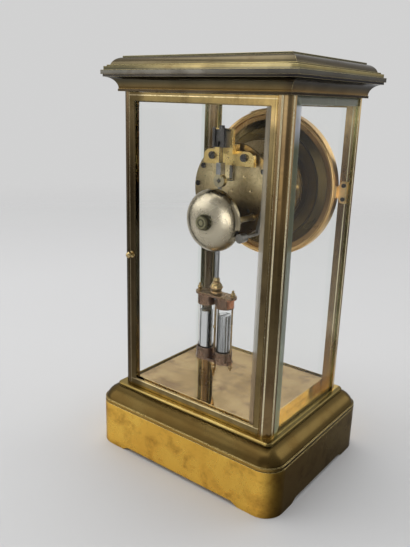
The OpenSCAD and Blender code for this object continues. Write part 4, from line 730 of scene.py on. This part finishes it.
def studio_floor():
    """A flat disc that fades into the backdrop's grey: the radius grows along one parameter, the angle along the
    other. It lies a hair under the feet."""
    radius, angle = np.meshgrid(np.linspace(0.0, FLOOR_RADIUS, 24), np.linspace(0.0, math.tau, 97)[:-1],
                                indexing="ij")
    points = np.stack([radius * np.cos(angle), radius * np.sin(angle), 0.0 * radius - FLOOR_DROP], axis=-1)
    f = Finish("pale_floor")
    x, y, _ = f.axes(f.place())
    far = f.step((x * x + y * y) ** 0.5, FADE_START, FADE_END)
    tone = 0.6 + 0.02 * f.clouds(3.0)
    paint = f.node("ShaderNodeCombineColor", inputs={0: tone, 1: tone, 2: tone})
    flat = f.node("ShaderNodeBsdfDiffuse", inputs={"Color": paint})
    clear = f.node("ShaderNodeBsdfTransparent")
    return points.reshape(-1, 3), grid_faces(*radius.shape, False), f.done(f.mixed(far, flat, clear))


joined("studio_floor", *studio_floor(), None)


def axes_at(side, top, back, place):
    """The place of a lamp or camera from its own three axes and its point."""
    return Matrix(np.vstack([np.column_stack([side, top, back, place]), (0, 0, 0, 1)]).tolist())


def softbox(name, place, target, size, power):
    """A four-sided area lamp that faces a target."""
    lamp = bpy.data.lights.new(name, "AREA")
    lamp.shape, lamp.size, lamp.size_y = "RECTANGLE", size[0], size[1]
    lamp.energy = power
    made = bpy.data.objects.new(name, lamp)
    bpy.context.collection.objects.link(made)
    back = np.subtract(place, target)
    back = back / np.linalg.norm(back)
    side = np.cross((0.0, 0.0, 1.0), back)
    side = side / np.linalg.norm(side)
    made.matrix_world = axes_at(side, np.cross(back, side), back, place)


softbox("overhead", (0.25, 0.1, 1.5), (0.0, 0.0, 0.1), (1.3, 1.3), 9.0)
softbox("window", (1.1, 0.9, 0.8), (0.0, 0.0, 0.12), (0.9, 1.2), 5.5)
softbox("front_window", (-0.9, -1.2, 0.9), (0.0, 0.0, 0.14), (0.9, 1.0), 4.0)


def studio_world():
    """The surroundings as the metal mirrors them: dim, lighter on the dial's side and above, with a patch of light
    behind the clock and a glint beside it. Metal inside the glasses mirrors lighter ones, and what is looked at
    directly or through glass is the backdrop's plain grey."""
    world = bpy.data.worlds.new("studio")
    world.use_nodes = True
    w = Finish("studio", world.node_tree)
    x, y, z = w.axes(w.node("ShaderNodeTexCoord", out="Generated"))
    toward = w.step(x * 0.606 - y * 0.795, -0.5, 0.6)
    above = w.step(z, -0.1, 0.8)
    behind = w.step(y * 0.93 - x * 0.35 - z * 0.05, 0.84, 0.96)
    glint = w.step(x * 0.45 + y * 0.88 + z * 0.15, 0.94, 0.99)
    around = 0.14 + 0.55 * toward + 0.3 * above + 0.8 * behind + 0.7 * glint
    around_colour = w.node("ShaderNodeCombineColor", inputs={0: around, 1: around, 2: around * 1.01})
    cased = 0.4 + 0.26 * toward + 2.6 * behind
    cased_colour = w.node("ShaderNodeCombineColor", inputs={0: cased, 1: cased, 2: cased})
    direct = w.node("ShaderNodeLightPath", out="Is Camera Ray")
    path = direct.socket.node.outputs
    through = Term(w, path["Is Transmission Ray"])
    mirrored = w.step(Term(w, path["Glossy Depth"]), 0.2, 0.8)
    lit = w.blend(through * mirrored, around_colour, cased_colour)
    seen = w.blend(direct + through * (1.0 - mirrored), lit, BACKDROP)
    light = w.node("ShaderNodeBackground", inputs={"Color": seen, "Strength": 1.0})
    w.node("ShaderNodeOutputWorld", inputs={"Surface": light})
    return world


bpy.context.scene.world = studio_world()

EYE = np.array([-229.5, 337.0, 253.5]) * MM
RIGHT, TOP, AHEAD = (-0.7900, -0.6125, 0.0283), (0.1947, -0.2068, 0.9587), (0.5813, -0.7629, -0.2826)
camera = bpy.data.cameras.new("photo_camera")
camera.sensor_fit, camera.sensor_height, camera.lens = "VERTICAL", 36.0, 38.92
camera.clip_start = 0.01
eye = bpy.data.objects.new("photo_camera", camera)
bpy.context.collection.objects.link(eye)
eye.matrix_world = axes_at(RIGHT, TOP, np.negative(AHEAD), EYE)
bpy.context.scene.camera = eye
bpy.context.scene.view_settings.view_transform = "Standard"
